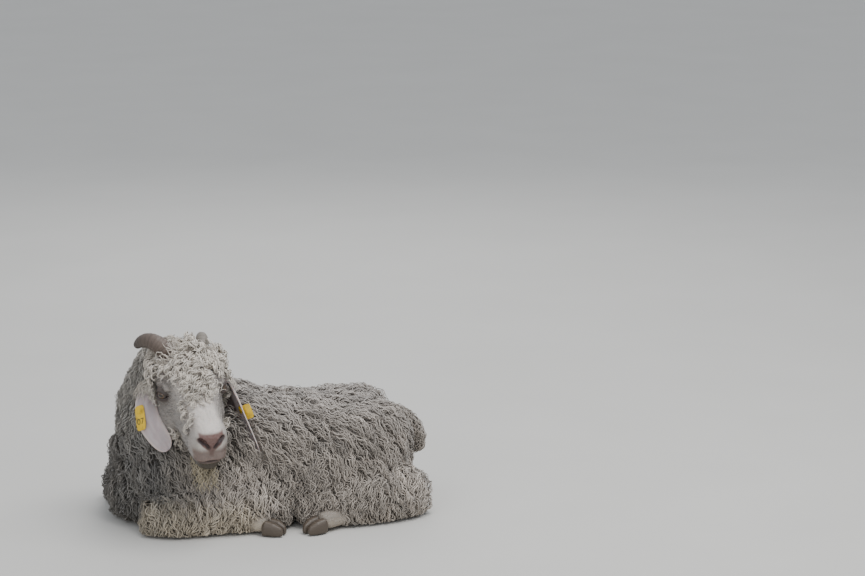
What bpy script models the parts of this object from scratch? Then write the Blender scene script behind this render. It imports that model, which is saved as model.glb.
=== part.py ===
"""A life-size Angora goat lying down in full fleece, as closed solids.

Lengths are in metres. The goat faces -X, its left side is towards -Y, and it lies on z = 0.
The flesh is lofted from a few body sizes, rounded clumps of fleece are fused onto it, and the
whole is then parted into the nodes that a person would name.
"""

import math
import random

import bmesh
import bpy
import numpy as np
from mathutils import Matrix, Vector
from mathutils.bvhtree import BVHTree

# Gap kept between touching nodes, and the extra reach of a cutter.
GAP = 0.0003
# The sizes below are those of a large doe; the finished goat is this share of them.
LIFE_SIZE = 0.93
# The fleece stands this deep over the flesh, and this much of it is a solid core.
COAT_DEPTH = 0.044
CORE_DEPTH = 0.020

# Trunk: x, y and z of the section's centre, half width, half height.
TRUNK = [
    (0.305, 0.000, 0.120, 0.045, 0.060),
    (0.275, 0.000, 0.118, 0.088, 0.088),
    (0.215, 0.000, 0.118, 0.122, 0.106),
    (0.120, 0.000, 0.116, 0.140, 0.112),
    (0.010, 0.000, 0.118, 0.148, 0.120),
    (-0.085, 0.000, 0.128, 0.135, 0.136),
    (-0.165, -0.004, 0.130, 0.112, 0.132),
    (-0.225, -0.006, 0.125, 0.098, 0.110),
    (-0.270, -0.006, 0.118, 0.078, 0.084),
    (-0.292, -0.006, 0.114, 0.045, 0.050),
]
# Neck: it leaves the chest, rises and bends to the left behind the head.
NECK = [
    (-0.150, 0.000, 0.130, 0.085, 0.090),
    (-0.200, 0.004, 0.200, 0.078, 0.088),
    (-0.212, -0.002, 0.262, 0.068, 0.076),
    (-0.206, -0.028, 0.312, 0.062, 0.068),
    (-0.196, -0.060, 0.346, 0.056, 0.062),
]
# The brisket between the knees: its centre and its radii.
BRISKET = ((-0.240, 0.012, 0.070), (0.075, 0.105, 0.075))
# The limbs of the left side, in fleece; the right side mirrors them.
HAUNCH = [
    (0.268, -0.050, 0.188, 0.028, 0.040),
    (0.242, -0.080, 0.160, 0.046, 0.070),
    (0.190, -0.110, 0.126, 0.053, 0.086),
    (0.130, -0.130, 0.096, 0.049, 0.070),
    (0.086, -0.138, 0.080, 0.032, 0.046),
]
SHANK = [
    (0.090, -0.140, 0.058, 0.034, 0.042),
    (0.190, -0.150, 0.050, 0.036, 0.040),
    (0.290, -0.128, 0.042, 0.030, 0.038),
    (0.322, -0.118, 0.040, 0.018, 0.024),
]
SHOULDER = [
    (-0.070, -0.056, 0.222, 0.022, 0.042),
    (-0.108, -0.080, 0.190, 0.034, 0.058),
    (-0.165, -0.098, 0.150, 0.041, 0.062),
    (-0.222, -0.100, 0.112, 0.040, 0.052),
    (-0.248, -0.096, 0.094, 0.025, 0.034),
]
UPPER_ARM = [
    (-0.235, -0.100, 0.106, 0.030, 0.040),
    (-0.180, -0.112, 0.096, 0.038, 0.050),
    (-0.100, -0.126, 0.080, 0.038, 0.048),
    (-0.030, -0.134, 0.062, 0.030, 0.040),
    (-0.004, -0.136, 0.056, 0.018, 0.024),
]
FOREARM = [
    (0.000, -0.138, 0.052, 0.026, 0.034),
    (-0.080, -0.148, 0.048, 0.034, 0.038),
    (-0.180, -0.148, 0.040, 0.029, 0.032),
    (-0.240, -0.142, 0.034, 0.028, 0.028),
    (-0.262, -0.138, 0.032, 0.016, 0.016),
]
# The right foreleg reaches this much further forwards than the left one.
RIGHT_REACH = -0.030
# Lower legs, folded under and out to the side: cannon, fetlock and pastern.
FORE_CANNON = [
    (-0.225, -0.122, 0.032, 0.020, 0.022),
    (-0.160, -0.142, 0.022, 0.015, 0.017),
    (-0.090, -0.172, 0.021, 0.014, 0.016),
    (-0.050, -0.196, 0.022, 0.019, 0.019),
    (-0.028, -0.212, 0.021, 0.017, 0.016),
]
HIND_CANNON = [
    (0.300, -0.130, 0.037, 0.022, 0.026),
    (0.240, -0.158, 0.023, 0.017, 0.018),
    (0.160, -0.192, 0.022, 0.015, 0.017),
    (0.115, -0.212, 0.023, 0.020, 0.020),
    (0.090, -0.224, 0.022, 0.018, 0.017),
]
# Each claw of a hoof: length, half width, half height, and half the cleft between the two.
CLAW_LENGTH = 0.042
CLAW_WIDTH = 0.0115
CLAW_HEIGHT = 0.0175
CLEFT = 0.0018
# How far a claw would reach into the floor: that much of its underside is cut flat.
CLAW_SUNK = 0.0018
TAIL = [
    (0.285, 0.000, 0.196, 0.020, 0.018),
    (0.330, 0.002, 0.186, 0.019, 0.016),
    (0.362, 0.006, 0.150, 0.016, 0.014),
    (0.368, 0.010, 0.118, 0.010, 0.009),
]

# The head: its own axes run forwards to the nose, to its left, and up out of the forehead.
HEAD_EYES = Vector((-0.180, -0.150, 0.312))
# Its heading measured from +X towards the left side, how far the nose drops, and the roll.
HEAD_YAW = math.radians(85.5)
HEAD_PITCH = math.radians(18.0)
HEAD_ROLL = math.radians(3.5)
# Skull and muzzle: distance forward, height of the centre, half width, half height.
SKULL = [
    (-0.098, 0.012, 0.042, 0.042),
    (-0.072, 0.008, 0.064, 0.064),
    (-0.032, -0.006, 0.071, 0.075),
    (0.004, -0.013, 0.066, 0.073),
    (0.030, -0.017, 0.054, 0.066),
    (0.056, -0.021, 0.048, 0.058),
    (0.100, -0.028, 0.042, 0.050),
    (0.138, -0.034, 0.042, 0.050),
    (0.159, -0.036, 0.035, 0.043),
    (0.170, -0.037, 0.022, 0.029),
]
JAW = [
    (-0.050, -0.056, 0.042, 0.038),
    (0.000, -0.070, 0.040, 0.030),
    (0.067, -0.078, 0.032, 0.025),
    (0.118, -0.083, 0.029, 0.023),
    (0.146, -0.084, 0.022, 0.018),
    (0.157, -0.083, 0.013, 0.010),
]
# Fleece of the topknot, the same way, before its depth is added.
TOPKNOT = [
    (-0.110, 0.020, 0.046, 0.040),
    (-0.085, 0.026, 0.064, 0.042),
    (-0.045, 0.030, 0.070, 0.046),
    (0.000, 0.024, 0.056, 0.040),
    (0.030, 0.018, 0.042, 0.028),
    (0.050, 0.010, 0.026, 0.018),
]
CHEEK = ((-0.012, 0.046, -0.048), (0.052, 0.026, 0.042))
UPPER_LIP = ((0.149, 0.016, -0.056), (0.022, 0.020, 0.019))
NOSE_PAD = ((0.158, 0.0, -0.014), (0.014, 0.026, 0.020))
BROW = ((-0.004, 0.060, 0.031), (0.028, 0.017, 0.011))
ORBIT = ((-0.006, 0.050, 0.008), (0.034, 0.022, 0.030))
NOSTRIL = ((0.168, 0.0165, -0.016), (0.0110, 0.0060, 0.0036))
# The line of the mouth: its corner, its middle and its front, all in the head's own axes.
MOUTH_LINE = [(0.092, -0.056), (0.122, -0.069), (0.184, -0.0725)]
MOUTH_GAP = 0.0022
MOUTH_INNER = ((0.090, 0.0, -0.068), (0.060, 0.0275, 0.026))
# The eye, its lids and the almond opening between them, as angles seen from the eye's centre.
EYE_AT = Vector((0.002, 0.0630, 0.012))
EYE_RADIUS = 0.0150
LID_THICKNESS = 0.0036
EYE_LOOKS = Vector((0.62, 0.75, 0.20))
OPENING_LONG = math.radians(54.0)
OPENING_HIGH = math.radians(24.0)

# Horns: distance forward, to the side and up, and the thickness. They curl back and outwards.
HORN_RIGHT = [
    (-0.053, 0.030, 0.046, 0.0220),
    (-0.061, 0.044, 0.078, 0.0215),
    (-0.074, 0.060, 0.093, 0.0200),
    (-0.090, 0.076, 0.095, 0.0172),
    (-0.104, 0.090, 0.085, 0.0130),
    (-0.114, 0.099, 0.069, 0.0065),
]
HORN_LEFT = [
    (-0.053, 0.026, 0.043, 0.0205),
    (-0.064, 0.036, 0.067, 0.0190),
    (-0.080, 0.043, 0.080, 0.0165),
    (-0.098, 0.046, 0.080, 0.0135),
    (-0.115, 0.049, 0.064, 0.0100),
    (-0.125, 0.053, 0.044, 0.0060),
]
HORN_RINGS = 10
# Ears: forward, to the side and up along the middle, then width and half angle of the cup.
EAR_RIGHT = [
    (-0.060, 0.058, 0.000, 0.030, 1.25),
    (-0.050, 0.084, -0.010, 0.040, 1.10),
    (-0.032, 0.098, -0.031, 0.049, 0.85),
    (-0.006, 0.099, -0.052, 0.053, 0.62),
    (0.019, 0.089, -0.072, 0.052, 0.50),
    (0.040, 0.076, -0.090, 0.043, 0.42),
    (0.053, 0.066, -0.102, 0.022, 0.40),
]
EAR_LEFT = [
    (-0.060, 0.056, 0.010, 0.030, 1.25),
    (-0.050, 0.090, -0.014, 0.048, 1.15),
    (-0.034, 0.102, -0.045, 0.062, 1.00),
    (-0.009, 0.111, -0.079, 0.065, 0.85),
    (0.018, 0.120, -0.108, 0.059, 0.70),
    (0.041, 0.130, -0.131, 0.043, 0.60),
    (0.058, 0.140, -0.145, 0.016, 0.55),
]
EAR_THICKNESS = 0.0040
# Which way each ear's cup is open, in the head's own axes with the side counted outwards.
CUP_RIGHT = Vector((-0.75, -0.45, -0.40))
CUP_LEFT = Vector((0.45, -0.80, 0.15))
# Ear tags: share of the way along the ear, shift across it, half width, half length, and how
# far the plate stands out from the ear.
TAG_RIGHT = (0.40, -0.012, 0.0125, 0.0285, 0.0)
TAG_LEFT = (0.46, -0.020, 0.0100, 0.0165, math.radians(60.0))
TAG_THICKNESS = 0.0018
TAG_PIN = 0.0026
TAG_BUTTON = 0.0085

# Fleece: distance between clumps, with the length and width of one as shares of it.
BODY_SPACING = 0.056
HEAD_SPACING = 0.031
CLUMP_LENGTH = 1.50
CLUMP_WIDTH = 0.60
CLUMP_THICKNESS = 0.26
HEAD_CORE = 0.010
HEAD_COAT = 0.026
SAMPLES = 9000
# Triangles left in the body's and the head's fleece once its clumps are joined.
BODY_TRIANGLES = 5000
HEAD_TRIANGLES = 1500
SEED = 16
# Depth of fleece on the tail under its locks, and their length.
TAIL_CORE = 0.004
TAIL_LOCK = 0.052
# The beard: a pad of hair under the jaw, and the roots of its locks, in the head's own axes.
BEARD_PAD = [
    (0.020, -0.096, 0.022, 0.012),
    (0.070, -0.100, 0.026, 0.013),
    (0.124, -0.102, 0.018, 0.011),
]
BEARD_ROOTS = [
    (0.122, -0.010, -0.096),
    (0.118, 0.012, -0.096),
    (0.094, -0.018, -0.096),
    (0.090, 0.018, -0.096),
    (0.052, -0.020, -0.094),
    (0.046, 0.020, -0.094),
]
BEARD_LENGTH = 0.084
BEARD_WIDTH = 0.020
BEARD_THICKNESS = 0.008


def head_frame():
    """The matrix that carries the head's own axes into the goat's."""
    ahead = Vector((math.cos(HEAD_YAW), -math.sin(HEAD_YAW), 0.0))
    forward = math.cos(HEAD_PITCH) * ahead - math.sin(HEAD_PITCH) * Vector((0, 0, 1))
    level_left = Vector((-ahead.y, ahead.x, 0.0))
    level_up = forward.cross(level_left)
    left = math.cos(HEAD_ROLL) * level_left + math.sin(HEAD_ROLL) * level_up
    up = forward.cross(left)
    frame = Matrix((forward, left, up)).transposed().to_4x4()
    frame.translation = HEAD_EYES
    return frame


HEAD = head_frame()


def mirrored(stations, reach=0.0):
    """The same stations on the goat's right side, moved forwards by reach."""
    return [(x + reach, -y, z, wide, high) for x, y, z, wide, high in stations]


def ring(centre, wide, high, sides, power=2.0):
    """Points round a superellipse in the plane of two half-axis vectors."""
    points = []
    for i in range(sides):
        turn = 2 * math.pi * i / sides
        c, s = math.cos(turn), math.sin(turn)
        across = math.copysign(abs(c) ** (2 / power), c)
        upwards = math.copysign(abs(s) ** (2 / power), s)
        points.append(centre + wide * across + high * upwards)
    return points


def tube(rings, tip=None):
    """Vertices and faces of a closed tube through rings of equal length, ending in a tip if one is given."""
    sides = len(rings[0])
    points = [p for one in rings for p in one]
    faces = [tuple(reversed(range(sides)))]
    for i in range(len(rings) - 1):
        for j in range(sides):
            k = (j + 1) % sides
            faces.append((i * sides + j, i * sides + k, (i + 1) * sides + k, (i + 1) * sides + j))
    last = (len(rings) - 1) * sides
    if tip is None:
        faces.append(tuple(range(last, last + sides)))
    else:
        points.append(tip)
        for j in range(sides):
            faces.append((last + j, last + (j + 1) % sides, len(points) - 1))
    return points, faces


def longer(rings, grow):
    """The rings with the first and the last one moved outwards by grow."""
    middles = [sum(one, Vector()) / len(one) for one in rings]
    first = (middles[0] - middles[1]).normalized() * grow
    last = (middles[-1] - middles[-2]).normalized() * grow
    rings[0] = [p + first for p in rings[0]]
    rings[-1] = [p + last for p in rings[-1]]
    return rings


def loft(stations, side=Vector((0, 1, 0)), grow=0.0, sides=16, power=2.3):
    """A closed form through stations of x, y, z, half width and half height, thicker by grow."""
    centres = [Vector(s[:3]) for s in stations]
    rings = []
    for i, (centre, station) in enumerate(zip(centres, stations)):
        along = (centres[min(i + 1, len(centres) - 1)] - centres[max(i - 1, 0)]).normalized()
        wide = (side - along * side.dot(along)).normalized()
        high = wide.cross(along)
        rings.append(ring(centre, wide * (station[3] + grow), high * (station[4] + grow), sides, power))
    return tube(longer(rings, grow))


def ellipsoid(centre, radii, axes=Matrix.Identity(3), rings=8, sides=14):
    """A closed ellipsoid with its poles along its first axis."""
    centre = Vector(centre)
    across = [axes.col[i] * radii[i] for i in range(3)]
    levels = []
    for i in range(1, rings):
        turn = math.pi * i / rings
        middle = centre - across[0] * math.cos(turn)
        levels.append(ring(middle, across[1] * math.sin(turn), across[2] * math.sin(turn), sides))
    points, faces = tube(levels, tip=centre + across[0])
    pole = len(points)
    points.append(centre - across[0])
    start = faces[0]
    faces[0:1] = [(start[i], start[(i + 1) % sides], pole) for i in range(sides)]
    return points, faces


def solid(name, *shapes, matrix=None):
    """One mesh object from shapes, each a list of points and a list of faces, with its faces outwards."""
    points, faces = [], []
    for shape_points, shape_faces in shapes:
        base = len(points)
        points += [Vector(p) for p in shape_points]
        faces += [tuple(base + i for i in face) for face in shape_faces]
    mesh = bpy.data.meshes.new(name)
    mesh.from_pydata(points, [], faces)
    if matrix is not None:
        mesh.transform(matrix)
    outwards(mesh)
    obj = bpy.data.objects.new(name, mesh)
    bpy.context.scene.collection.objects.link(obj)
    return obj


def outwards(mesh):
    """Triangles only, with every face pointing out."""
    work = bmesh.new()
    work.from_mesh(mesh)
    bmesh.ops.recalc_face_normals(work, faces=work.faces)
    bmesh.ops.triangulate(work, faces=work.faces)
    work.to_mesh(mesh)
    work.free()


def remove(*objects):
    for obj in objects:
        bpy.data.objects.remove(obj)


def applied(obj):
    """obj with its modifiers applied."""
    bpy.context.view_layer.update()
    graph = bpy.context.evaluated_depsgraph_get()
    mesh = bpy.data.meshes.new_from_object(obj.evaluated_get(graph))
    obj.modifiers.clear()
    obj.data = mesh
    return obj


def skinned(obj, voxel, smoothing, triangles):
    """obj's overlapping forms as one smooth skin of about that many triangles."""
    remesh = obj.modifiers.new("one_skin", "REMESH")
    remesh.mode = "VOXEL"
    remesh.voxel_size = voxel
    smooth = obj.modifiers.new("soften", "SMOOTH")
    smooth.factor = 0.5
    smooth.iterations = smoothing
    return thinned(applied(obj), triangles)


def thinned(obj, triangles):
    """obj with its flattest edges collapsed until about that many triangles are left."""
    count = sum(len(p.vertices) - 2 for p in obj.data.polygons)
    thin = obj.modifiers.new("fewer_faces", "DECIMATE")
    thin.ratio = triangles / count
    return applied(obj)


def boolean(obj, others, operation):
    """obj joined with, cut by or kept inside the other solids, which are then removed."""
    group = bpy.data.collections.new("operands")
    bpy.context.scene.collection.children.link(group)
    for other in others:
        for holder in list(other.users_collection):
            holder.objects.unlink(other)
        group.objects.link(other)
    step = obj.modifiers.new(operation.lower(), "BOOLEAN")
    step.operand_type = "COLLECTION"
    step.collection = group
    step.operation = operation
    step.solver = "MANIFOLD"
    applied(obj)
    remove(*others)
    bpy.data.collections.remove(group)
    return obj


def largest_body(obj):
    """obj with every loose scrap dropped: only its largest closed surface stays."""
    work = bmesh.new()
    work.from_mesh(obj.data)
    bmesh.ops.triangulate(work, faces=work.faces)
    work.faces.index_update()
    left = set(work.faces)
    bodies = []
    while left:
        edge = [left.pop()]
        body = set(edge)
        while edge:
            for side in edge.pop().edges:
                for face in side.link_faces:
                    if face not in body:
                        body.add(face)
                        edge.append(face)
        left -= body
        bodies.append(body)
    extent = [volume_of(body) for body in bodies]
    keep = bodies[extent.index(max(extent))]
    bmesh.ops.delete(work, geom=[f for f in work.faces if f not in keep], context="FACES")
    work.to_mesh(obj.data)
    work.free()
    return obj


def volume_of(faces):
    """The volume enclosed by these triangles, counted by their index order."""
    total = 0.0
    for face in sorted(faces, key=lambda f: f.index):
        a, b, c = (v.co for v in face.verts)
        total += a.dot(b.cross(c)) / 6
    return total


def region(name, planes, grow=0.0):
    """The convex block on the positive side of each plane (point, normal), moved out by grow."""
    work = bmesh.new()
    bmesh.ops.create_cube(work, size=4.0)
    for point, normal in planes:
        normal = Vector(normal).normalized()
        place = Vector(point) - normal * grow
        cut = bmesh.ops.bisect_plane(
            work, geom=work.verts[:] + work.edges[:] + work.faces[:], dist=1e-7,
            plane_co=place, plane_no=normal, clear_inner=True,
        )
        edges = [g for g in cut["geom_cut"] if isinstance(g, bmesh.types.BMEdge)]
        if edges:
            bmesh.ops.edgeloop_fill(work, edges=edges)
    bmesh.ops.recalc_face_normals(work, faces=work.faces)
    bmesh.ops.triangulate(work, faces=work.faces)
    mesh = bpy.data.meshes.new(name)
    work.to_mesh(mesh)
    work.free()
    obj = bpy.data.objects.new(name, mesh)
    bpy.context.scene.collection.objects.link(obj)
    return obj


def copy_of(obj, name):
    twin = bpy.data.objects.new(name, obj.data.copy())
    bpy.context.scene.collection.objects.link(twin)
    return twin


def part_off(whole, name, planes):
    """A node: the share of whole inside the planes. The rest keeps the gap to it."""
    node = boolean(copy_of(whole, name), [region("inside", planes)], "INTERSECT")
    boolean(whole, [region("cleared", planes, grow=GAP)], "DIFFERENCE")
    return largest_body(node)


def clump(surface, root, normal, lie, size, stand):
    """A rounded lock of fleece: it rises from the core, bends over along its lie and tapers."""
    length, width, thick = size
    # Each level: how far along the lie, how far out, and its share of the full width and thickness.
    levels = [
        (0.00, -0.45, 0.80, 0.80),
        (0.24, 0.60, 1.00, 1.00),
        (0.66, 0.74, 0.80, 0.86),
        (1.00, 0.45, 0.00, 0.00),
    ]
    middles, outs = [], []
    base, out, done = root, normal, 0.0
    for along, height, _, _ in levels:
        step = (lie - out * lie.dot(out)).normalized() * (length * (along - done))
        done = along
        base, out, _, _ = surface.find_nearest(base + step)
        middles.append(base + out * (height * stand))
        outs.append(out)
    across = normal.cross(lie).normalized()
    rings = []
    for i in range(len(levels) - 1):
        heading = (middles[i + 1] - middles[max(i - 1, 0)]).normalized()
        up = heading.cross(across).normalized()
        wide = up.cross(heading)
        rings.append(
            ring(middles[i], wide * (width * levels[i][2]), up * (thick * levels[i][3]), 6)
        )
    return tube(rings, tip=middles[-1])


def lock(root, heading, face, length, width, thick, bend, grow=0.0):
    """A flat tapered lock of hair from root along heading, bending over towards face."""
    rings = []
    for share, wide in ((0.0, 0.80), (0.25, 1.0), (0.55, 0.85), (0.80, 0.55)):
        centre = root + heading * (length * share) + face * (bend * share * share)
        along = (heading * length + face * (2 * bend * share)).normalized()
        across = along.cross(face).normalized()
        out = across.cross(along)
        rings.append(
            ring(centre, across * (width * wide + grow), out * (thick * (0.4 + 0.6 * wide) + grow), 6)
        )
    rings[0] = [p - heading * grow for p in rings[0]]
    return tube(rings, tip=root + heading * (length + grow) + face * bend)


def spline(stations, count):
    """count stations along a smooth curve through the given ones."""
    ends = [stations[0]] + list(stations) + [stations[-1]]
    found = []
    for i in range(count):
        place = i * (len(stations) - 1) / (count - 1)
        k = min(int(place), len(stations) - 2)
        t = place - k
        before, start, stop, after = (np.array(ends[k + n]) for n in range(4))
        found.append(
            0.5 * (2 * start + (stop - before) * t + (2 * before - 5 * start + 4 * stop - after) * t * t
                   + (3 * start - before - 3 * stop + after) * t * t * t)
        )
    return [tuple(float(v) for v in station) for station in found]


def sided(point, side):
    """A point or direction given outwards, on the goat's left (side 1) or its right (side -1)."""
    return Vector((point[0], point[1] * side, point[2]))


def head_loft(stations, grow=0.0, sides=20):
    return loft([(f, 0.0, u, wide, high) for f, u, wide, high in stations], grow=grow, sides=sides)


def head_skin(fleece_depth):
    """The head without its horns, ears, lids, nostrils and mouth."""
    shapes = [head_loft(SKULL), head_loft(JAW), head_loft(TOPKNOT, grow=fleece_depth)]
    shapes.append(ellipsoid(*NOSE_PAD))
    for side in (1, -1):
        for centre, radii in (CHEEK, UPPER_LIP, BROW, ORBIT):
            shapes.append(ellipsoid(sided(centre, side), radii))
    head = skinned(solid("head", *shapes), 0.0035, 4, 2200)
    head.data.transform(HEAD)
    return head


def face_details(head):
    """The lids, sockets, nostrils and mouth, worked into the parted head."""
    head.data.transform(HEAD.inverted())
    lids = []
    cuts = [mouth()]
    for side in (1, -1):
        centre = sided(EYE_AT, side)
        lid = EYE_RADIUS + GAP + LID_THICKNESS
        lids.append(solid("lids", ellipsoid(centre, (lid, lid, lid), rings=6, sides=12)))
        cuts.append(solid("socket", eyeball(side, GAP)))
        cuts.append(solid("opening", eye_opening(side)))
        turn = Matrix.Rotation(side * math.radians(35), 3, "X")
        cuts.append(solid("nostril", ellipsoid(sided(NOSTRIL[0], side), NOSTRIL[1], turn, 6, 8)))
    boolean(head, lids, "UNION")
    boolean(head, cuts, "DIFFERENCE")
    head.data.transform(HEAD)
    return head


def eyeball(side, grow=0.0):
    size = EYE_RADIUS + grow
    return ellipsoid(sided(EYE_AT, side), (size, size, size), rings=6, sides=12)


def eye_opening(side):
    """The almond cone that leaves the lids open, its long axis dropping towards the nose."""
    looks = sided(EYE_LOOKS, side).normalized()
    long = Vector((0.80, -0.50 * side, -0.30))
    long = (long - looks * long.dot(looks)).normalized()
    high = looks.cross(long)
    centre = sided(EYE_AT, side)
    rings = []
    for reach in (0.004, 0.030):
        rings.append(
            ring(centre + looks * reach, long * (reach * math.tan(OPENING_LONG)),
                 high * (reach * math.tan(OPENING_HIGH)), 12, 1.6)
        )
    return tube(rings)


def mouth():
    """The groove of the mouth: a thin bent slab, less the part that would go in too deep."""
    half = MOUTH_GAP / 2
    upper = [Vector((f, -0.08, u + half)) for f, u in MOUTH_LINE]
    lower = [Vector((f, -0.08, u - half)) for f, u in reversed(MOUTH_LINE)]
    near = upper + lower
    far = [Vector((p.x, 0.08, p.z)) for p in near]
    slab = solid("mouth", tube([near, far]))
    inner = solid("inner", ellipsoid(*MOUTH_INNER))
    return boolean(slab, [inner], "DIFFERENCE")


def horn(path, side, grow=0.0):
    """One horn: thick rings that curl back and outwards to a blunt tip."""
    stations = spline(path, 2 * HORN_RINGS)
    rings = []
    for i, (f, out, u, thick) in enumerate(stations):
        after = Vector(stations[min(i + 1, len(stations) - 1)][:3])
        before = Vector(stations[max(i - 1, 0)][:3])
        along = sided(after - before, side).normalized()
        wide = along.cross(Vector((0, 0, 1))).normalized()
        high = wide.cross(along)
        swell = 1.035 if i % 2 else 0.965
        rings.append(
            ring(sided((f, out, u), side), wide * (thick * swell * 0.85 + grow),
                 high * (thick * swell + grow), 8)
        )
    return tube(longer(rings, grow))


def ear_frames(stations, side, cup, count=9):
    """Along an ear: its middle, the way across it, the way into its cup, its width and its bend."""
    path = spline(stations, count)
    frames = []
    for i, (f, out, u, width, bend) in enumerate(path):
        after = Vector(path[min(i + 1, count - 1)][:3])
        before = Vector(path[max(i - 1, 0)][:3])
        along = sided(after - before, side).normalized()
        inward = sided(cup, side)
        inward = (inward - along * inward.dot(along)).normalized()
        frames.append((sided((f, out, u), side), along.cross(inward), inward, width, bend))
    return frames


def ear(frames, grow=0.0):
    """An ear: a thin leaf bent across into a cup, thinner at its rims."""
    rings = []
    for centre, across, inward, width, bend in frames:
        radius = width / 2 / math.sin(bend)
        outer, inner = [], []
        for k in range(-3, 4):
            turn = (bend + grow / radius) * k / 3
            spoke = across * math.sin(turn) - inward * math.cos(turn)
            middle = centre + inward * radius + spoke * radius
            thick = EAR_THICKNESS / 2 * (1 - 0.5 * (k / 3) ** 2) + grow
            outer.append(middle + spoke * thick)
            inner.append(middle - spoke * thick)
        rings.append(outer + inner[::-1])
    return tube(longer(rings, grow))


def tag_frame(frames, tag):
    """Where a tag's pin crosses the ear: the point, and the axes across, along and out of it."""
    share, shift = tag[:2]
    place = share * (len(frames) - 1)
    k = int(place)
    mix = place - k
    centre = frames[k][0].lerp(frames[k + 1][0], mix)
    across = frames[k][1].lerp(frames[k + 1][1], mix).normalized()
    inward = frames[k][2].lerp(frames[k + 1][2], mix).normalized()
    width = frames[k][3] * (1 - mix) + frames[k + 1][3] * mix
    bend = frames[k][4] * (1 - mix) + frames[k + 1][4] * mix
    radius = width / 2 / math.sin(bend)
    turn = shift / radius
    spoke = across * math.sin(turn) - inward * math.cos(turn)
    point = centre + inward * radius + spoke * radius
    sideways = across * math.cos(turn) + inward * math.sin(turn)
    along = spoke.cross(sideways)
    if along.z > 0:
        along = -along
    return point, sideways, along, spoke


def tag(frames, sizes, grow=0.0):
    """An ear tag: a plate outside the ear, the pin through it and a button inside."""
    point, sideways, along, out = tag_frame(frames, sizes)
    half = EAR_THICKNESS / 2 + 2 * GAP
    wide = sideways * math.cos(sizes[4]) - out * math.sin(sizes[4])
    face = out * math.cos(sizes[4]) + sideways * math.sin(sizes[4])
    near = point + out * half + along * (sizes[3] * 0.55) - wide * (sizes[2] * math.sin(sizes[4]))
    plate = []
    for level in (-grow, TAG_THICKNESS + grow):
        plate.append(
            ring(near + face * level, wide * (sizes[2] + grow), along * (sizes[3] + grow), 12, 5.0)
        )
    pin = []
    for level in (-half - TAG_THICKNESS * 0.6, half + TAG_THICKNESS * 0.6):
        pin.append(
            ring(point + out * level, sideways * (TAG_PIN + grow), along * (TAG_PIN + grow), 8)
        )
    button = []
    for level in (-half - TAG_THICKNESS - grow, -half + grow):
        button.append(
            ring(point + out * level, sideways * (TAG_BUTTON + grow), along * (TAG_BUTTON + grow), 10)
        )
    return [tube(plate), tube(pin), tube(button)]


def claws(cannon, side, reach, grow=0.0):
    """The two claws of one hoof, at the end of a folded lower leg."""
    end = Vector(cannon[-1][:3])
    heading = end - Vector(cannon[-2][:3])
    heading.z = 0.0
    heading.normalize()
    across = Vector((0, 0, 1)).cross(heading)
    pair = []
    for which in (1, -1):
        rings = []
        for share, wide, high in ((-0.10, 0.80, 0.80), (0.05, 1.0, 1.0), (0.55, 0.92, 0.86), (1.0, 0.42, 0.48)):
            wide = CLAW_WIDTH * wide
            high = CLAW_HEIGHT * high
            centre = end + heading * (CLAW_LENGTH * share) + across * which * (CLEFT + CLAW_WIDTH * 0.95)
            centre -= across * which * 0.008 * max(0.0, share - 0.5)
            centre.z = CLAW_HEIGHT - CLAW_SUNK - (CLAW_HEIGHT - high) * 0.8
            rings.append(ring(centre, across * (wide + grow), Vector((0, 0, high + grow)), 8, 2.6))
        pair.append(tube(longer(rings, grow)))
    if side < 0:
        return [([Vector((p.x + reach, -p.y, p.z)) for p in points], faces) for points, faces in pair]
    return pair


def tail(grow=0.0):
    """The tail, lying down over the rump, with its locks round a core."""
    rng = random.Random(SEED + 5)
    shapes = [loft(TAIL, grow=TAIL_CORE + grow, sides=8)]
    for i, (x, y, z, wide, _) in enumerate(spline(TAIL, 4)[:3]):
        for side in (-1.0, 1.0):
            out = Vector((0.75, side * 0.9, 0.55 - 0.15 * i)).normalized()
            root = Vector((x, y, z)) + out * (wide + TAIL_CORE - 0.006)
            heading = Vector((0.35, side * 0.35, -1.0)).normalized()
            length = TAIL_LOCK * rng.uniform(0.85, 1.1)
            shapes.append(lock(root, heading, out, length, 0.017, 0.007, -0.012, grow))
    return shapes


def beard(grow=0.0):
    """Flat locks that hang from under the jaw on to the fleece of the shoulder."""
    rng = random.Random(SEED + 3)
    down = HEAD.to_3x3().inverted() @ Vector((0.10, -0.20, -1.0)).normalized()
    ahead = HEAD.to_3x3().inverted() @ Vector((-0.25, -0.95, 0.20)).normalized()
    pad = [(f, 0.0, u, wide, high) for f, u, wide, high in BEARD_PAD]
    shapes = [loft(pad, grow=grow, sides=10)]
    for f, side, u in BEARD_ROOTS:
        root = Vector((f, side, u))
        heading = (down + Vector((0.0, rng.uniform(-0.12, 0.12) + side * 3, 0.0))).normalized()
        length = BEARD_LENGTH * rng.uniform(0.85, 1.1)
        shapes.append(lock(root, heading, ahead, length, BEARD_WIDTH, BEARD_THICKNESS, 0.012, grow))
    return shapes


def fleece(core, spacing_at, lie_at, stand, rng):
    """The clumps over core, laid along the fall of the fleece, each as tall as stand."""
    surface = BVHTree.FromObject(core, bpy.context.evaluated_depsgraph_get())
    clumps = []
    for point, normal, spacing in scattered(core, spacing_at, rng):
        lie = lie_at(point)
        lie = (lie - normal * lie.dot(normal)).normalized()
        turn = Matrix.Rotation(rng.uniform(-0.35, 0.35), 3, normal)
        size = spacing * rng.uniform(0.88, 1.12)
        sizes = (size * CLUMP_LENGTH, size * CLUMP_WIDTH, size * CLUMP_THICKNESS)
        shape = clump(surface, point, normal, turn @ lie, sizes, stand * rng.uniform(0.85, 1.0))
        clumps.append(solid("clump", shape))
    return clumps


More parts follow.
